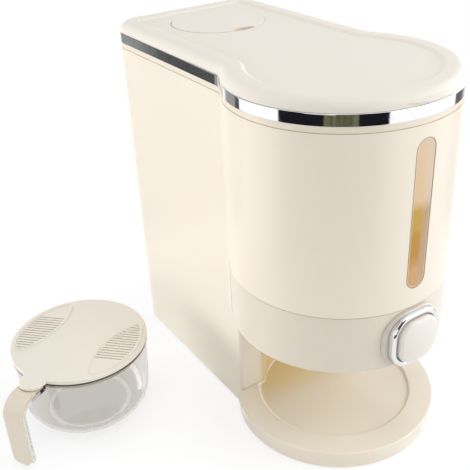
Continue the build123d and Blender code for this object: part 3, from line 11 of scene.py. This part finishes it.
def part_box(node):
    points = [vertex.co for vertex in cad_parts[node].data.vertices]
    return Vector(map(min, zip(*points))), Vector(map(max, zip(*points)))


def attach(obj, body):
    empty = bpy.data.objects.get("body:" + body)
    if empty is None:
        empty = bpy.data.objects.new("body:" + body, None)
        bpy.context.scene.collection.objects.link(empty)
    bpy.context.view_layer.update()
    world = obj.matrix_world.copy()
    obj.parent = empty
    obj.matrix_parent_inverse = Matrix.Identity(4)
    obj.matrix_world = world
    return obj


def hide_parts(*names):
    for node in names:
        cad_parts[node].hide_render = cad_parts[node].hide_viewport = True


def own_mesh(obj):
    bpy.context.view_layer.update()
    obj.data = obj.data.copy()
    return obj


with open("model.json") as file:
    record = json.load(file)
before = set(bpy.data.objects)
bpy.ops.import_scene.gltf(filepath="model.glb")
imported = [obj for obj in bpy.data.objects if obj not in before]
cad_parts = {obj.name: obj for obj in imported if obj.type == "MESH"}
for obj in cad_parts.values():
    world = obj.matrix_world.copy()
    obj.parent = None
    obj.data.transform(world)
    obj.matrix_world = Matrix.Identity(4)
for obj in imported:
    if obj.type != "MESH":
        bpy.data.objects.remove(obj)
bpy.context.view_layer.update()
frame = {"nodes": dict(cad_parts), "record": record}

# Places on the part, in metres.
WINDOW_LOW, WINDOW_HIGH, WINDOW_HALF = 0.1895, 0.3220, 0.0100
DRUM_R = 0.100
BUTTON_Z = 0.142
CUP_CENTRE = (-0.211, 0.145)
CUP_LID_R = 0.068
CUP_LID_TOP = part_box("cup_lid")[1][2]

WINDOW_BEVEL_IN, WINDOW_BEVEL_OUT = 0.0022, 0.0014

# The open niche: where its painted warm shade comes in, from off to on.
NICHE_WALL = (0.0760, 0.0715)
NICHE_CEILING = (0.116, 0.112)
NICHE_FRONT = (-0.005, 0.045)

# Colours up the window, from its foot at 0 to its head at 1, on its left and right half: amber with painted shade,
# golden and orange where the funnel behind darkens it, and a paler painted reflection on the right half.
WINDOW_LEFT_PAINTED_SHADE = [
    (0.0, (0.80, 0.47, 0.18)),
    (0.14, (0.80, 0.46, 0.17)),
    (0.24, (0.66, 0.33, 0.012)),
    (0.38, (0.66, 0.32, 0.004)),
    (0.43, (0.72, 0.42, 0.020)),
    (0.54, (0.73, 0.42, 0.022)),
    (0.61, (0.95, 0.68, 0.38)),
    (1.0, (0.96, 0.74, 0.49)),
]
WINDOW_RIGHT_PAINTED_SHADE_AND_REFLECTION = [
    (0.0, (0.78, 0.50, 0.27)),
    (0.2, (0.66, 0.43, 0.22)),
    (0.52, (0.64, 0.42, 0.20)),
    (0.62, (0.90, 0.70, 0.52)),
    (1.0, (0.95, 0.74, 0.52)),
]
# Painted highlight on the bevel inside the window's outline.
WINDOW_BEVEL_HIGHLIGHT = (0.97, 0.80, 0.60)
# Painted shade round the window's edge: its colour and reach.
WINDOW_EDGE_SHADE_TONE = (0.45, 0.38, 0.30)
WINDOW_EDGE_SHADE_REACH = 0.0016

# Share of open sky on an open face and deep in a crease, between which the painted shade in seams and inside corners
# comes in.
OPEN_FACE, DEEP_SEAM = 0.80, 0.30
SEAM_SHADE_REACH = 0.0035

# Painted shade: the colour towards which seams and inside corners are darkened.
SEAM_SHADE_TONE = (0.74, 0.64, 0.50)
DUST_TONE = (0.55, 0.54, 0.53)
DUST_SHARE = 0.07
MOULDED_IOR = 1.5
CLEAR_IOR = 1.49
# Painted shade: the warm dark of light bounced round the open niche.
NICHE_PAINTED_SHADE_TONE = (0.91, 0.80, 0.56)
CREAM = (0.870, 0.797, 0.665)
LID_CREAM = (0.820, 0.772, 0.672)
BASE_CREAM = (0.915, 0.838, 0.694)
# Painted shade: the collar's cream is darkened because less light reaches it.
COLLAR_SHADED_CREAM = (0.775, 0.712, 0.595)
BUTTON_CREAM = (0.820, 0.782, 0.710)
# Painted shade: the button surround's cream is darkened for the shade on its left.
SURROUND_SHADED_CREAM = (0.690, 0.650, 0.575)
# Painted shade: the cup handle's cream is darkened for the shade it stands in.
HANDLE_SHADED_CREAM = (0.765, 0.685, 0.560)
FRAME_CREAM = (0.835, 0.760, 0.625)
CUP_LID_CREAM = (0.862, 0.812, 0.712)


class Wire:
    """The output of a node. Arithmetic on it adds Math nodes."""

    def __init__(self, bench, node, socket):
        self.bench = bench
        self.node = node
        self.socket = socket

    def _math(self, operation, first, second):
        return self.bench.node("ShaderNodeMath", {"operation": operation}, {0: first, 1: second})

    def __add__(self, other):
        return self._math("ADD", self, other)

    def __sub__(self, other):
        return self._math("SUBTRACT", self, other)

    def __rsub__(self, other):
        return self._math("SUBTRACT", other, self)

    def __mul__(self, other):
        return self._math("MULTIPLY", self, other)

    def __truediv__(self, other):
        return self._math("DIVIDE", self, other)

    __radd__ = __add__
    __rmul__ = __mul__

    def other(self, output):
        """Another output of the same node."""
        return Wire(self.bench, self.node, self.node.outputs[output])


class Bench:
    """A node tree under work."""

    def __init__(self, tree):
        self.tree = tree
        tree.nodes.clear()

    def node(self, kind, settings=None, inputs=None, output=0):
        """Adds a node, sets its settings, then gives its sockets their values or links."""
        made = self.tree.nodes.new(kind)
        for key, value in (settings or {}).items():
            if key == "stops":
                ramp = made.color_ramp
                while len(ramp.elements) < len(value):
                    ramp.elements.new(1.0)
                for element, (position, tint) in zip(ramp.elements, value):
                    element.position = position
                    element.color = (*tint, 1.0)
            elif key == "interpolation":
                made.color_ramp.interpolation = value
            else:
                setattr(made, key, value)
        for key, value in (inputs or {}).items():
            if isinstance(value, Wire):
                self.tree.links.new(value.socket, made.inputs[key])
            elif isinstance(value, tuple) and len(value) == 3 and made.inputs[key].type == "RGBA":
                made.inputs[key].default_value = (*value, 1.0)
            else:
                made.inputs[key].default_value = value
        return Wire(self, made, made.outputs[output]) if made.outputs else made

    def place(self):
        """The spot on the object, in metres."""
        return self.node("ShaderNodeTexCoord", output="Object")

    def noise(self, scale, detail=2.0, rough=0.5, stretch=(1, 1, 1)):
        spot = self.node("ShaderNodeMapping", inputs={"Vector": self.place(), "Scale": stretch})
        return self.node(
            "ShaderNodeTexNoise", inputs={"Vector": spot, "Scale": scale, "Detail": detail, "Roughness": rough}
        )

    def fade(self, value, low, high, out_low=0.0, out_high=1.0):
        """A smooth step of a value from low to high."""
        return self.node(
            "ShaderNodeMapRange",
            {"interpolation_type": "SMOOTHSTEP"},
            {0: value, 1: low, 2: high, 3: out_low, 4: out_high},
        )

    def blend(self, amount, first, second):
        """From the first colour to the second, by the given amount."""
        return self.node("ShaderNodeMix", {"data_type": "RGBA"}, {0: amount, 6: first, 7: second}, output=2)

    def tinted(self, amount, base, cover):
        """Base multiplied by a cover colour, by the given amount."""
        return self.node(
            "ShaderNodeMix", {"data_type": "RGBA", "blend_type": "MULTIPLY"}, {0: amount, 6: base, 7: cover}, output=2
        )

    def corner_shade(self, reach):
        """Painted shade: 1 in seams and inside corners, 0 on open faces."""
        open_share = self.node("ShaderNodeAmbientOcclusion", {"samples": 4}, {"Distance": reach}, output="AO")
        return self.fade(open_share, OPEN_FACE, DEEP_SEAM)

    def length(self, vector):
        return self.node("ShaderNodeVectorMath", {"operation": "LENGTH"}, {0: vector}, output="Value")

    def bump(self, height, strength, distance, under=None):
        """Relief from a height, laid over another relief where one is given."""
        inputs = {"Strength": strength, "Distance": distance, "Height": height}
        if under:
            inputs["Normal"] = under
        return self.node("ShaderNodeBump", inputs=inputs)


def material(name):
    made = bpy.data.materials.new(name)
    made.use_nodes = True
    return made, Bench(made.node_tree)


def surface(bench, **sockets):
    """The shader and the material's output."""
    names = {key.replace("_", " ").title().replace("Ior", "IOR"): value for key, value in sockets.items()}
    shader = bench.node("ShaderNodeBsdfPrincipled", inputs=names)
    bench.node("ShaderNodeOutputMaterial", inputs={"Surface": shader})


def shade(colour, gain):
    """The colour made lighter or darker."""
    return tuple(min(1.0, part * gain) for part in colour)


def niche_shade_mask(b):
    """1 on the walls and the inner floor of the open niche under the collar, where warm shade is painted."""
    flat = b.node("ShaderNodeVectorMath", {"operation": "MULTIPLY"}, {0: b.place(), 1: (1.0, 1.0, 0.0)})
    height = b.node("ShaderNodeSeparateXYZ", inputs={0: b.place()}, output="Z")
    near_axis = b.fade(b.length(flat), *NICHE_WALL)
    return near_axis * b.fade(height, *NICHE_CEILING) * b.fade(height.other("Y"), *NICHE_FRONT)


def moulded(name, colour, gloss, peel=0.05, mottle=0.007, painted_niche_shade=False, seam_shade=0.8, shine=0.5):
    """Injection-moulded plastic: faint colour clouds, orange peel, slow sink waves and painted shade in seams and
    inside corners.
    """
    made, b = material(name)
    cloud = b.noise(11.0, 3.0)
    speck = b.noise(420.0, 4.0, 0.65)
    tone = cloud * 0.7 + speck * 0.3
    tint = b.blend(tone, shade(colour, 1 - mottle), shade(colour, 1 + mottle))
    # Painted warm shade in the open niche.
    if painted_niche_shade:
        tint = b.tinted(niche_shade_mask(b), tint, NICHE_PAINTED_SHADE_TONE)
    # Painted shade darkening seams and inside corners.
    tint = b.tinted(b.corner_shade(SEAM_SHADE_REACH) * seam_shade, tint, SEAM_SHADE_TONE)
    smear = b.noise(38.0, 5.0, 0.6, (1, 1, 0.35))
    rough = gloss + (cloud - 0.5) * 0.08 + (smear - 0.5) * 0.07
    grain = b.noise(1500.0, 3.0, 0.55)
    wave = b.noise(24.0, 1.0)
    skin = b.bump(grain, peel, 0.0004)
    sink = b.bump(wave, 0.10, 0.002, under=skin)
    surface(b, base_color=tint, roughness=rough, normal=sink, ior=MOULDED_IOR, specular_ior_level=shine)
    return made


def plated(name, colour):
    """Polished plating over plastic: a mirror with faint waves, pits, wiping marks and a little dust."""
    made, b = material(name)
    cloud = b.noise(30.0, 3.0)
    wipe = b.noise(260.0, 5.0, 0.6, (1, 1, 6))
    pits = b.noise(1700.0, 2.0, 0.6)
    dust = b.noise(700.0, 2.0, 0.7)
    tint = b.blend(cloud, shade(colour, 0.96), shade(colour, 1.03))
    tint = b.tinted(b.fade(dust, 0.40, 0.70) * DUST_SHARE, tint, DUST_TONE)
    rough = 0.035 + b.fade(wipe, 0.45, 0.75) * 0.09 + b.fade(pits, 0.62, 0.8) * 0.10
    wave = b.noise(55.0, 2.0)
    pit = b.bump(pits, 0.04, 0.0002)
    sink = b.bump(wave, 0.06, 0.001, under=pit)
    surface(b, base_color=tint, roughness=rough, normal=sink, metallic=1.0)
    return made


def brushed(name, colour):
    """Drawn or turned steel with fine lines."""
    made, b = material(name)
    lines = b.noise(900.0, 4.0, 0.6, (1, 1, 0.08))
    cloud = b.noise(120.0, 3.0)
    tint = b.blend(lines, shade(colour, 0.82), shade(colour, 1.12))
    rough = 0.24 + lines * 0.16 + cloud * 0.08
    groove = b.bump(lines, 0.25, 0.0001)
    surface(b, base_color=tint, roughness=rough, normal=groove, metallic=1.0)
    return made


def soft_rubber(name, colour, gloss):
    """Seals and feet: a dull skin with a faint bloom."""
    made, b = material(name)
    bloom = b.noise(90.0, 4.0, 0.6)
    grain = b.noise(2200.0, 3.0, 0.6)
    tint = b.blend(bloom, shade(colour, 0.85), shade(colour, 1.2))
    rough = gloss + bloom * 0.15
    skin = b.bump(grain, 0.3, 0.0002)
    surface(b, base_color=tint, roughness=rough, normal=skin, sheen_weight=0.1)
    return made


def clear_plastic(name, colour):
    """Clear moulded plastic for the cup: faint flow waves and a few hairline scuffs."""
    made, b = material(name)
    flow = b.noise(45.0, 2.0, 0.5, (1, 1, 0.4))
    scuff = b.noise(500.0, 4.0, 0.6, (1, 1, 8))
    tint = b.blend(flow, shade(colour, 0.985), colour)
    rough = 0.015 + b.fade(scuff, 0.62, 0.8) * 0.05
    ripple = b.bump(flow, 0.10, 0.001)
    surface(b, base_color=tint, roughness=rough, normal=ripple, ior=CLEAR_IOR, transmission_weight=1.0)
    return made


def window_edge(b, height):
    """1 on the bevel just inside the sight window's outline, where a highlight is painted."""
    middle = (WINDOW_LOW + WINDOW_HIGH) / 2
    straight = (WINDOW_HIGH - WINDOW_LOW) / 2 - WINDOW_HALF
    off = b.node("ShaderNodeMath", {"operation": "ABSOLUTE"}, {0: height - middle}) - straight
    over = b.node("ShaderNodeMath", {"operation": "MAXIMUM"}, {0: off, 1: 0.0})
    across = height.other("X")
    from_spine = b.node("ShaderNodeMath", {"operation": "SQRT"}, {0: over * over + across * across})
    return b.fade(from_spine, WINDOW_HALF - WINDOW_BEVEL_IN, WINDOW_HALF - WINDOW_BEVEL_OUT)


def amber_plastic(name):
    """Amber sight window with painted light: pale above, golden and orange painted shade where it looks down into the
    funnel, a paler painted reflection on its right half, a painted highlight on the bevel and painted shade round its
    edge.
    """
    made, b = material(name)
    spot = b.node("ShaderNodeSeparateXYZ", inputs={0: b.place()}, output="Z")
    climb = (spot - WINDOW_LOW) / (WINDOW_HIGH - WINDOW_LOW)
    across = spot.other("X")
    cloud = b.noise(60.0, 3.0, 0.5, (1, 1, 0.3))
    level = climb + (cloud - 0.5) * 0.06
    left = b.node("ShaderNodeValToRGB", {"stops": WINDOW_LEFT_PAINTED_SHADE}, {0: level})
    right = b.node("ShaderNodeValToRGB", {"stops": WINDOW_RIGHT_PAINTED_SHADE_AND_REFLECTION}, {0: level})
    # The right half takes the paler painted reflection.
    tint = b.blend(b.fade(across + (cloud - 0.5) * 0.006, -0.0004, 0.0030), left, right)
    # Painted highlight on the bevel.
    tint = b.blend(window_edge(b, spot) * 0.45, tint, WINDOW_BEVEL_HIGHLIGHT)
    # Painted shade round the window's edge.
    tint = b.tinted(b.corner_shade(WINDOW_EDGE_SHADE_REACH), tint, WINDOW_EDGE_SHADE_TONE)
    rough = 0.08 + cloud * 0.08
    ripple = b.bump(cloud, 0.08, 0.001)
    surface(
        b,
        base_color=tint,
        roughness=rough,
        normal=ripple,
        ior=CLEAR_IOR,
        transmission_weight=0.3,
        coat_weight=0.2,
        coat_roughness=0.04,
    )
    return made


finishes = {
    "shell_cream": moulded("shell cream", CREAM, 0.30, painted_niche_shade=True, seam_shade=0.35),
    "lid_cream": moulded("lid cream", LID_CREAM, 0.50, peel=0.09, seam_shade=0.5, shine=0.25),
    "base_cream": moulded("base cream", BASE_CREAM, 0.12, painted_niche_shade=True, seam_shade=0.45),
    "chrome": plated("bright plating", (0.80, 0.81, 0.83)),
    "amber_clear": amber_plastic("amber window with painted shade and reflection"),
    # Painted shade: the cup's plastic is tinted grey for the shade inside the lidded cup.
    "clear_plastic": clear_plastic("grey cup plastic with painted shade", (0.800, 0.785, 0.755)),
    "inner_plastic": moulded("inner plastic", (0.80, 0.75, 0.65), 0.42, peel=0.14),
    "frosted_plastic": moulded("frosted plastic", (0.80, 0.80, 0.78), 0.46, peel=0.2),
    "silicone": soft_rubber("pale silicone", (0.74, 0.72, 0.67), 0.45),
    "dark_seal": soft_rubber("dark seal", (0.018, 0.013, 0.010), 0.32),
    "foot_rubber": soft_rubber("foot rubber", (0.07, 0.067, 0.062), 0.6),
    "steel": brushed("plated steel", (0.60, 0.60, 0.61)),
}

own_finishes = {
    "collar": moulded("collar cream with painted shade", COLLAR_SHADED_CREAM, 0.30),
    "button_cap": moulded("button cream", BUTTON_CREAM, 0.40),
    "cup_handle_cover": moulded("handle cream with painted shade", HANDLE_SHADED_CREAM, 0.34),
    # Painted shade: the basket is coloured golden brown for the warm bounced shade seen through the lid's notch.
    "desiccant_box": moulded("golden basket with painted warm shade", (0.85, 0.55, 0.16), 0.40, peel=0.2),
    "rim_frame": moulded("frame cream", FRAME_CREAM, 0.32, seam_shade=0.0),
    "cup_lid": moulded("cup lid cream", CUP_LID_CREAM, 0.42, peel=0.09, seam_shade=0.15, shine=0.4),
    "button_surround": moulded("surround cream with painted shade", SURROUND_SHADED_CREAM, 0.30, seam_shade=0.5),
}

# A piece takes its own finish where it has one, and else that of its material.
for part in frame["record"]["subparts"]:
    node = frame["nodes"][part["node"]]
    node.data.materials.clear()
    node.data.materials.append(own_finishes.get(part["node"], finishes[part["material_slot"]]))


def new_piece(name, shape, finish, body):
    """A mesh piece from a bmesh, with its finish, riding on a body."""
    mesh = bpy.data.meshes.new(name)
    bmesh.ops.recalc_face_normals(shape, faces=shape.faces)
    shape.to_mesh(mesh)
    shape.free()
    mesh.polygons.foreach_set("use_smooth", [True] * len(mesh.polygons))
    mesh.materials.append(finish)
    piece = bpy.data.objects.new(name, mesh)
    bpy.context.scene.collection.objects.link(piece)
    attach(piece, body)
    return piece


def loft(shape, rings, closed_path, closed_ring):
    """Skins a row of rings, each a list of points."""
    rows = [[shape.verts.new(point) for point in ring] for ring in rings]
    pairs = list(zip(rows, rows[1:])) + ([(rows[-1], rows[0])] if closed_path else [])
    span = len(rings[0])
    for near, far in pairs:
        for index in range(span if closed_ring else span - 1):
            after = (index + 1) % span
            shape.faces.new((near[index], near[after], far[after], far[index]))
    return rows


def wire_rings(path, radius, sides, closed):
    """Round sections along a path, turned with it so that they don't twist."""
    count = len(path)
    rings = []
    side_way = None
    for index, point in enumerate(path):
        before = path[index - 1] if closed or index else point
        after = path[(index + 1) % count] if closed or index < count - 1 else point
        heading = (after - before).normalized()
        if side_way is None:
            side_way = heading.orthogonal().normalized()
        side_way = (side_way - heading * side_way.dot(heading)).normalized()
        other_way = heading.cross(side_way)
        turns = (2 * math.pi * k / sides for k in range(sides))
        rings.append([point + (side_way * math.cos(a) + other_way * math.sin(a)) * radius for a in turns])
    return rings


# Return spring: ground ends, closed end turns and open turns between, squeezed by the button.
SPRING_FIXED_Y = -0.0620
SPRING_BUTTON_Y = -0.0920
SPRING_COIL_R = 0.0080
SPRING_WIRE_R = 0.0006
SPRING_TURNS = 8.0
SPRING_CLOSED = 1.0
SPRING_STEPS = 32
SPRING_SIDES = 10


def spring_rise(turn):
    """How far along its length the wire is after a number of turns: slow over the closed end turns."""
    lift = 2 * SPRING_WIRE_R
    open_turns = SPRING_TURNS - 2 * SPRING_CLOSED
    open_length = SPRING_FIXED_Y - SPRING_BUTTON_Y - 2 * SPRING_WIRE_R - 2 * lift * SPRING_CLOSED
    if turn < SPRING_CLOSED:
        return lift * turn
    if turn > SPRING_TURNS - SPRING_CLOSED:
        return lift * SPRING_CLOSED + open_length + lift * (turn - SPRING_TURNS + SPRING_CLOSED)
    return lift * SPRING_CLOSED + open_length * (turn - SPRING_CLOSED) / open_turns


path = []
for step in range(int(SPRING_TURNS * SPRING_STEPS) + 1):
    turn = step / SPRING_STEPS
    angle = 2 * math.pi * turn
    along = SPRING_BUTTON_Y + SPRING_WIRE_R + spring_rise(turn)
    path.append(Vector((SPRING_COIL_R * math.cos(angle), along, BUTTON_Z + SPRING_COIL_R * math.sin(angle))))
coil = bmesh.new()
rows = loft(coil, wire_rings(path, SPRING_WIRE_R, SPRING_SIDES, False), False, True)
coil.faces.new(list(reversed(rows[0])))
coil.faces.new(rows[-1])
spring = new_piece("spring_coil", coil, finishes["steel"], "dispenser")
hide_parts("return_spring")
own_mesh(spring)


# A thin dark bead round the sight window: a dark piece that draws the shade line in the gap there.
BEAD_R = 0.00035
BEAD_SUNK = 0.0002
BEAD_ARC_STEPS = 24
BEAD_STRAIGHT_STEPS = 30
BEAD_SIDES = 8
bead_half = WINDOW_HALF - 0.0001
bead_path = []
for centre_z, start in ((WINDOW_HIGH - WINDOW_HALF, 0.0), (WINDOW_LOW + WINDOW_HALF, math.pi)):
    for step in range(BEAD_ARC_STEPS + 1):
        angle = start + math.pi * step / BEAD_ARC_STEPS
        bead_path.append((bead_half * math.cos(angle), centre_z + bead_half * math.sin(angle)))
    straight = (WINDOW_HIGH - WINDOW_LOW - 2 * WINDOW_HALF) / BEAD_STRAIGHT_STEPS
    heading = -1 if start == 0.0 else 1
    last_x, last_z = bead_path[-1]
    bead_path += [(last_x, last_z + heading * straight * step) for step in range(1, BEAD_STRAIGHT_STEPS)]
bead_line = [Vector((x, -math.sqrt((DRUM_R - BEAD_SUNK) ** 2 - x * x), z)) for x, z in bead_path]
bead = bmesh.new()
loft(bead, wire_rings(bead_line, BEAD_R, BEAD_SIDES, True), True, True)
bead_finish = soft_rubber("window bead", (0.24, 0.17, 0.10), 0.35)
new_piece("window_bead", bead, bead_finish, "dispenser")


# Low raised edges round the cup lid's two fields of slots.
FIELD_RIM_R = CUP_LID_R - 0.0048
FIELD_WAIST = 0.0295
FIELD_ARC_R = 0.084
FIELD_CORNER_R = 0.006
RIM_STEPS, CORNER_STEPS, ARC_STEPS = 48, 12, 60
# Across the edge: how far outward, and how high over the lid.
EDGE_PROFILE = (
    (-0.0022, -0.0002),
    (-0.0013, 0.00016),
    (-0.0005, 0.00036),
    (0.0004, 0.00038),
    (0.0013, 0.00018),
    (0.0022, -0.0002),
)
HANDLE_AZIMUTH = -150.0


def field_outline():
    """A lens between the rim and an arc, both corners rounded, along +X from the lid's middle."""
    hub = FIELD_WAIST + FIELD_ARC_R
    inner_r = FIELD_ARC_R - FIELD_CORNER_R
    outer_r = FIELD_RIM_R - FIELD_CORNER_R
    corner_x = (outer_r**2 - inner_r**2 + hub**2) / (2 * hub)
    corner_y = math.sqrt(outer_r**2 - corner_x**2)
    rim_turn = math.atan2(corner_y, corner_x)
    hub_turn = math.atan2(corner_y, corner_x - hub)
    points = []

    def sweep(cx, cy, radius, start, end, count):
        for step in range(count):
            angle = start + (end - start) * step / count
            points.append(Vector((cx + radius * math.cos(angle), cy + radius * math.sin(angle), 0.0)))

    sweep(0, 0, FIELD_RIM_R, -rim_turn, rim_turn, RIM_STEPS)
    sweep(corner_x, corner_y, FIELD_CORNER_R, rim_turn, hub_turn, CORNER_STEPS)
    sweep(hub, 0, FIELD_ARC_R, hub_turn, 2 * math.pi - hub_turn, ARC_STEPS)
    sweep(corner_x, -corner_y, FIELD_CORNER_R, -hub_turn, -rim_turn, CORNER_STEPS)
    return points


edge_shape = bmesh.new()
for azimuth in (HANDLE_AZIMUTH + 90, HANDLE_AZIMUTH - 90):
    spin = Matrix.Rotation(math.radians(azimuth), 4, "Z")
    seat = Matrix.Translation((*CUP_CENTRE, CUP_LID_TOP)) @ spin
    outline = field_outline()
    rings = []
    for index, point in enumerate(outline):
        heading = (outline[(index + 1) % len(outline)] - outline[index - 1]).normalized()
        outward = heading.cross(Vector((0, 0, 1)))
        section = [point + outward * offset + Vector((0, 0, lift)) for offset, lift in EDGE_PROFILE]
        rings.append([seat @ corner for corner in section])
    loft(edge_shape, rings, True, True)
new_piece("slot_field_edges", edge_shape, finishes["lid_cream"], "cup_lid")


# The camera stands where the outlines of the dispenser put it.
CAMERA_AT = Vector((-0.3934, -0.4593, 0.5350))
YAW = math.radians(31.68)
PITCH = math.radians(29.28)
ROLL = math.radians(-2.89)
FOCAL_PIXELS = 747.0
FRAME_PIXELS = 470.0
SENSOR_MM = 36.0

ahead = Vector((math.sin(YAW) * math.cos(PITCH), math.cos(YAW) * math.cos(PITCH), -math.sin(PITCH)))
level = Vector((math.cos(YAW), -math.sin(YAW), 0.0))
upward = level.cross(ahead)
side = level * math.cos(ROLL) + upward * math.sin(ROLL)
top = -level * math.sin(ROLL) + upward * math.cos(ROLL)
lens = bpy.data.cameras.new("camera")
lens.sensor_width = SENSOR_MM
lens.lens = FOCAL_PIXELS / FRAME_PIXELS * SENSOR_MM
lens.clip_start = 0.01
camera = bpy.data.objects.new("camera", lens)
bpy.context.scene.collection.objects.link(camera)
turn = Matrix((side, top, -ahead)).transposed().to_4x4()
camera.matrix_world = Matrix.Translation(CAMERA_AT) @ turn
bpy.context.scene.camera = camera


def studio_rays(bench):
    """Two masks: 1 for rays that leave the camera or pass through clear plastic, and 1 for mirrored rays."""
    rays = bench.node("ShaderNodeLightPath", output="Is Camera Ray")
    return rays + rays.other("Is Transmission Ray"), rays.other("Is Glossy Ray")


def compass(degrees):
    """A bearing of -180 to 180 degrees from +X, as a share of the full turn."""
    return (degrees + 180) / 360


def sector(bench, bearing, start, end):
    """1 between two bearings. Each is a pair of degrees over which the mask comes in or goes out."""
    comes = bench.fade(bearing, compass(start[0]), compass(start[1]))
    return comes * bench.fade(bearing, compass(end[1]), compass(end[0]))


# The room as the plating mirrors it: white, with dark and grey walls and a patch of green at their own bearings.
WHITE = (1.0, 1.0, 1.0)
GREY = (0.10, 0.095, 0.095)
BLACK = (0.010, 0.010, 0.012)
OLIVE = (0.165, 0.165, 0.098)
DUSK = (0.13, 0.13, 0.13)
PALE_GREY = (0.42, 0.42, 0.42)
SPECK_TONE = (0.52, 0.50, 0.50)
LEAF_TONE = (0.35, 0.38, 0.30)
ROOM_STRENGTH = 1.25
FILL_TONE = (1.0, 0.972, 0.925)
FILL_STRENGTH = 0.32
ROOM_STOPS = [
    (compass(-180), BLACK),
    (compass(-146), OLIVE),
    (compass(-115), BLACK),
    (compass(-86), WHITE),
    (compass(-6), DUSK),
    (compass(26), WHITE),
    (compass(84), GREY),
    (compass(122), WHITE),
    (compass(171), BLACK),
]
world = bpy.data.worlds.new("room")
world.use_nodes = True
bpy.context.scene.world = world
b = Bench(world.node_tree)
way = b.node("ShaderNodeTexCoord", output="Generated")
east = b.node("ShaderNodeSeparateXYZ", inputs={0: way}, output="X")
north = east.other("Y")
bearing = b.node("ShaderNodeMath", {"operation": "ARCTAN2"}, {0: north, 1: east}) / (2 * math.pi) + 0.5
walls = b.node("ShaderNodeValToRGB", {"interpolation": "CONSTANT", "stops": ROOM_STOPS}, {0: bearing})
# the dusk wall and the grey wall start softly
walls = b.blend(sector(b, bearing, (5, 25), (26, 27)), walls, WHITE)
walls = b.blend(sector(b, bearing, (83, 84), (86, 107)), walls, WHITE)
# the long grey wall pales towards the back and is speckled
long_wall = sector(b, bearing, (90, 100), (121.5, 122.5))
walls = b.blend(long_wall * b.fade(bearing, compass(117.5), compass(113.5)), walls, PALE_GREY)
speck = b.node("ShaderNodeTexNoise", inputs={"Vector": way, "Scale": 260.0, "Detail": 3.0, "Roughness": 0.7})
walls = b.tinted(long_wall * b.fade(speck, 0.62, 0.40), walls, SPECK_TONE)
# the green is leafy
leaves = b.node("ShaderNodeTexNoise", inputs={"Vector": way, "Scale": 22.0, "Detail": 4.0, "Roughness": 0.7})
green = sector(b, bearing, (-146.5, -145.5), (-115.5, -114.5))
walls = b.tinted(green * b.fade(leaves, 0.62, 0.38), walls, LEAF_TONE)
seen, mirrored = studio_rays(b)
plain = b.node("ShaderNodeBackground", inputs={"Color": WHITE, "Strength": 1.0})
room = b.node("ShaderNodeBackground", inputs={"Color": walls, "Strength": ROOM_STRENGTH})
fill = b.node("ShaderNodeBackground", inputs={"Color": FILL_TONE, "Strength": FILL_STRENGTH})
lit = b.node("ShaderNodeMixShader", inputs={0: mirrored, 1: fill, 2: room})
out = b.node("ShaderNodeMixShader", inputs={0: seen, 1: lit, 2: plain})
b.node("ShaderNodeOutputWorld", inputs={"Surface": out})

# The floor: white paper that keeps the shadows, and near the object shows in the plating.
FLOOR_HALF = 6.0
FLOOR_PALES = (0.34, 0.85)
FLOOR_LEAVES_MIRRORS = (0.44, 0.50)
FLOOR_GLOW = 0.74
floor_mesh = bpy.data.meshes.new("floor")
corners = [(x * FLOOR_HALF, y * FLOOR_HALF, 0) for x, y in ((-1, -1), (1, -1), (1, 1), (-1, 1))]
floor_mesh.from_pydata(corners, [], [(0, 1, 2, 3)])
floor = bpy.data.objects.new("floor", floor_mesh)
bpy.context.scene.collection.objects.link(floor)
paper, b = material("white paper")
seen, mirrored = studio_rays(b)
matt = b.node("ShaderNodeBsdfDiffuse", inputs={"Color": (0.80, 0.80, 0.80)})
faint = b.node("ShaderNodeBsdfDiffuse", inputs={"Color": (0.30, 0.30, 0.30)})
glow = b.node("ShaderNodeEmission", inputs={"Color": WHITE, "Strength": FLOOR_GLOW})
shown = b.node("ShaderNodeAddShader", inputs={0: faint, 1: glow})
spread = b.length(b.place())
beyond = b.fade(spread, *FLOOR_LEAVES_MIRRORS) * mirrored
gone = b.node("ShaderNodeBsdfTransparent")
near = b.node("ShaderNodeMixShader", inputs={0: seen + mirrored, 1: matt, 2: shown})
bare = b.node("ShaderNodeEmission", inputs={"Color": WHITE, "Strength": 1.0})
paling = b.fade(spread, *FLOOR_PALES) * (seen + mirrored)
near = b.node("ShaderNodeMixShader", inputs={0: paling, 1: near, 2: bare})
both = b.node("ShaderNodeMixShader", inputs={0: beyond, 1: near, 2: gone})
b.node("ShaderNodeOutputMaterial", inputs={"Surface": both})
floor_mesh.materials.append(paper)


def softbox(name, at, towards, size, watts, tint=WHITE, mirrored=True):
    """A rectangular lamp that faces a point. One that isn't mirrored doesn't show in glossy surfaces."""
    lamp = bpy.data.lights.new(name, "AREA")
    lamp.shape = "RECTANGLE"
    lamp.size, lamp.size_y = size
    lamp.energy = watts
    lamp.color = tint
    made = bpy.data.objects.new(name, lamp)
    made.location = at
    made.rotation_euler = (Vector(towards) - Vector(at)).to_track_quat("-Z", "Y").to_euler()
    made.visible_glossy = mirrored
    bpy.context.scene.collection.objects.link(made)


COOL, BLUE, SKY = (0.985, 1.0, 1.03), (0.93, 1.0, 1.22), (0.99, 1.0, 1.08)
MIDDLE = (0, 0, 0.2)
softbox("right box", (1.05, -1.15, 0.85), MIDDLE, (1.5, 1.5), 18.5, COOL)
softbox("far right box", (1.6, 0.0, 0.60), MIDDLE, (0.8, 1.0), 8.6, BLUE)
softbox("rear left box", (-1.34, 1.48, 0.40), (0, 0.1, 0.15), (2.0, 0.74), 28.0, (0.98, 1.0, 1.05), False)
softbox("front left box", (-1.35, -0.85, 0.40), (0, 0, 0.15), (0.8, 0.6), 4.4)
softbox("top box", (0.0, 0.1, 1.7), (0, 0.1, 0.2), (1.2, 1.2), 7.8, SKY)
softbox("front top box", (-0.22, -0.70, 1.80), MIDDLE, (0.9, 0.7), 1.8, (0.98, 1.0, 1.08))

bpy.context.scene.view_settings.view_transform = "Standard"
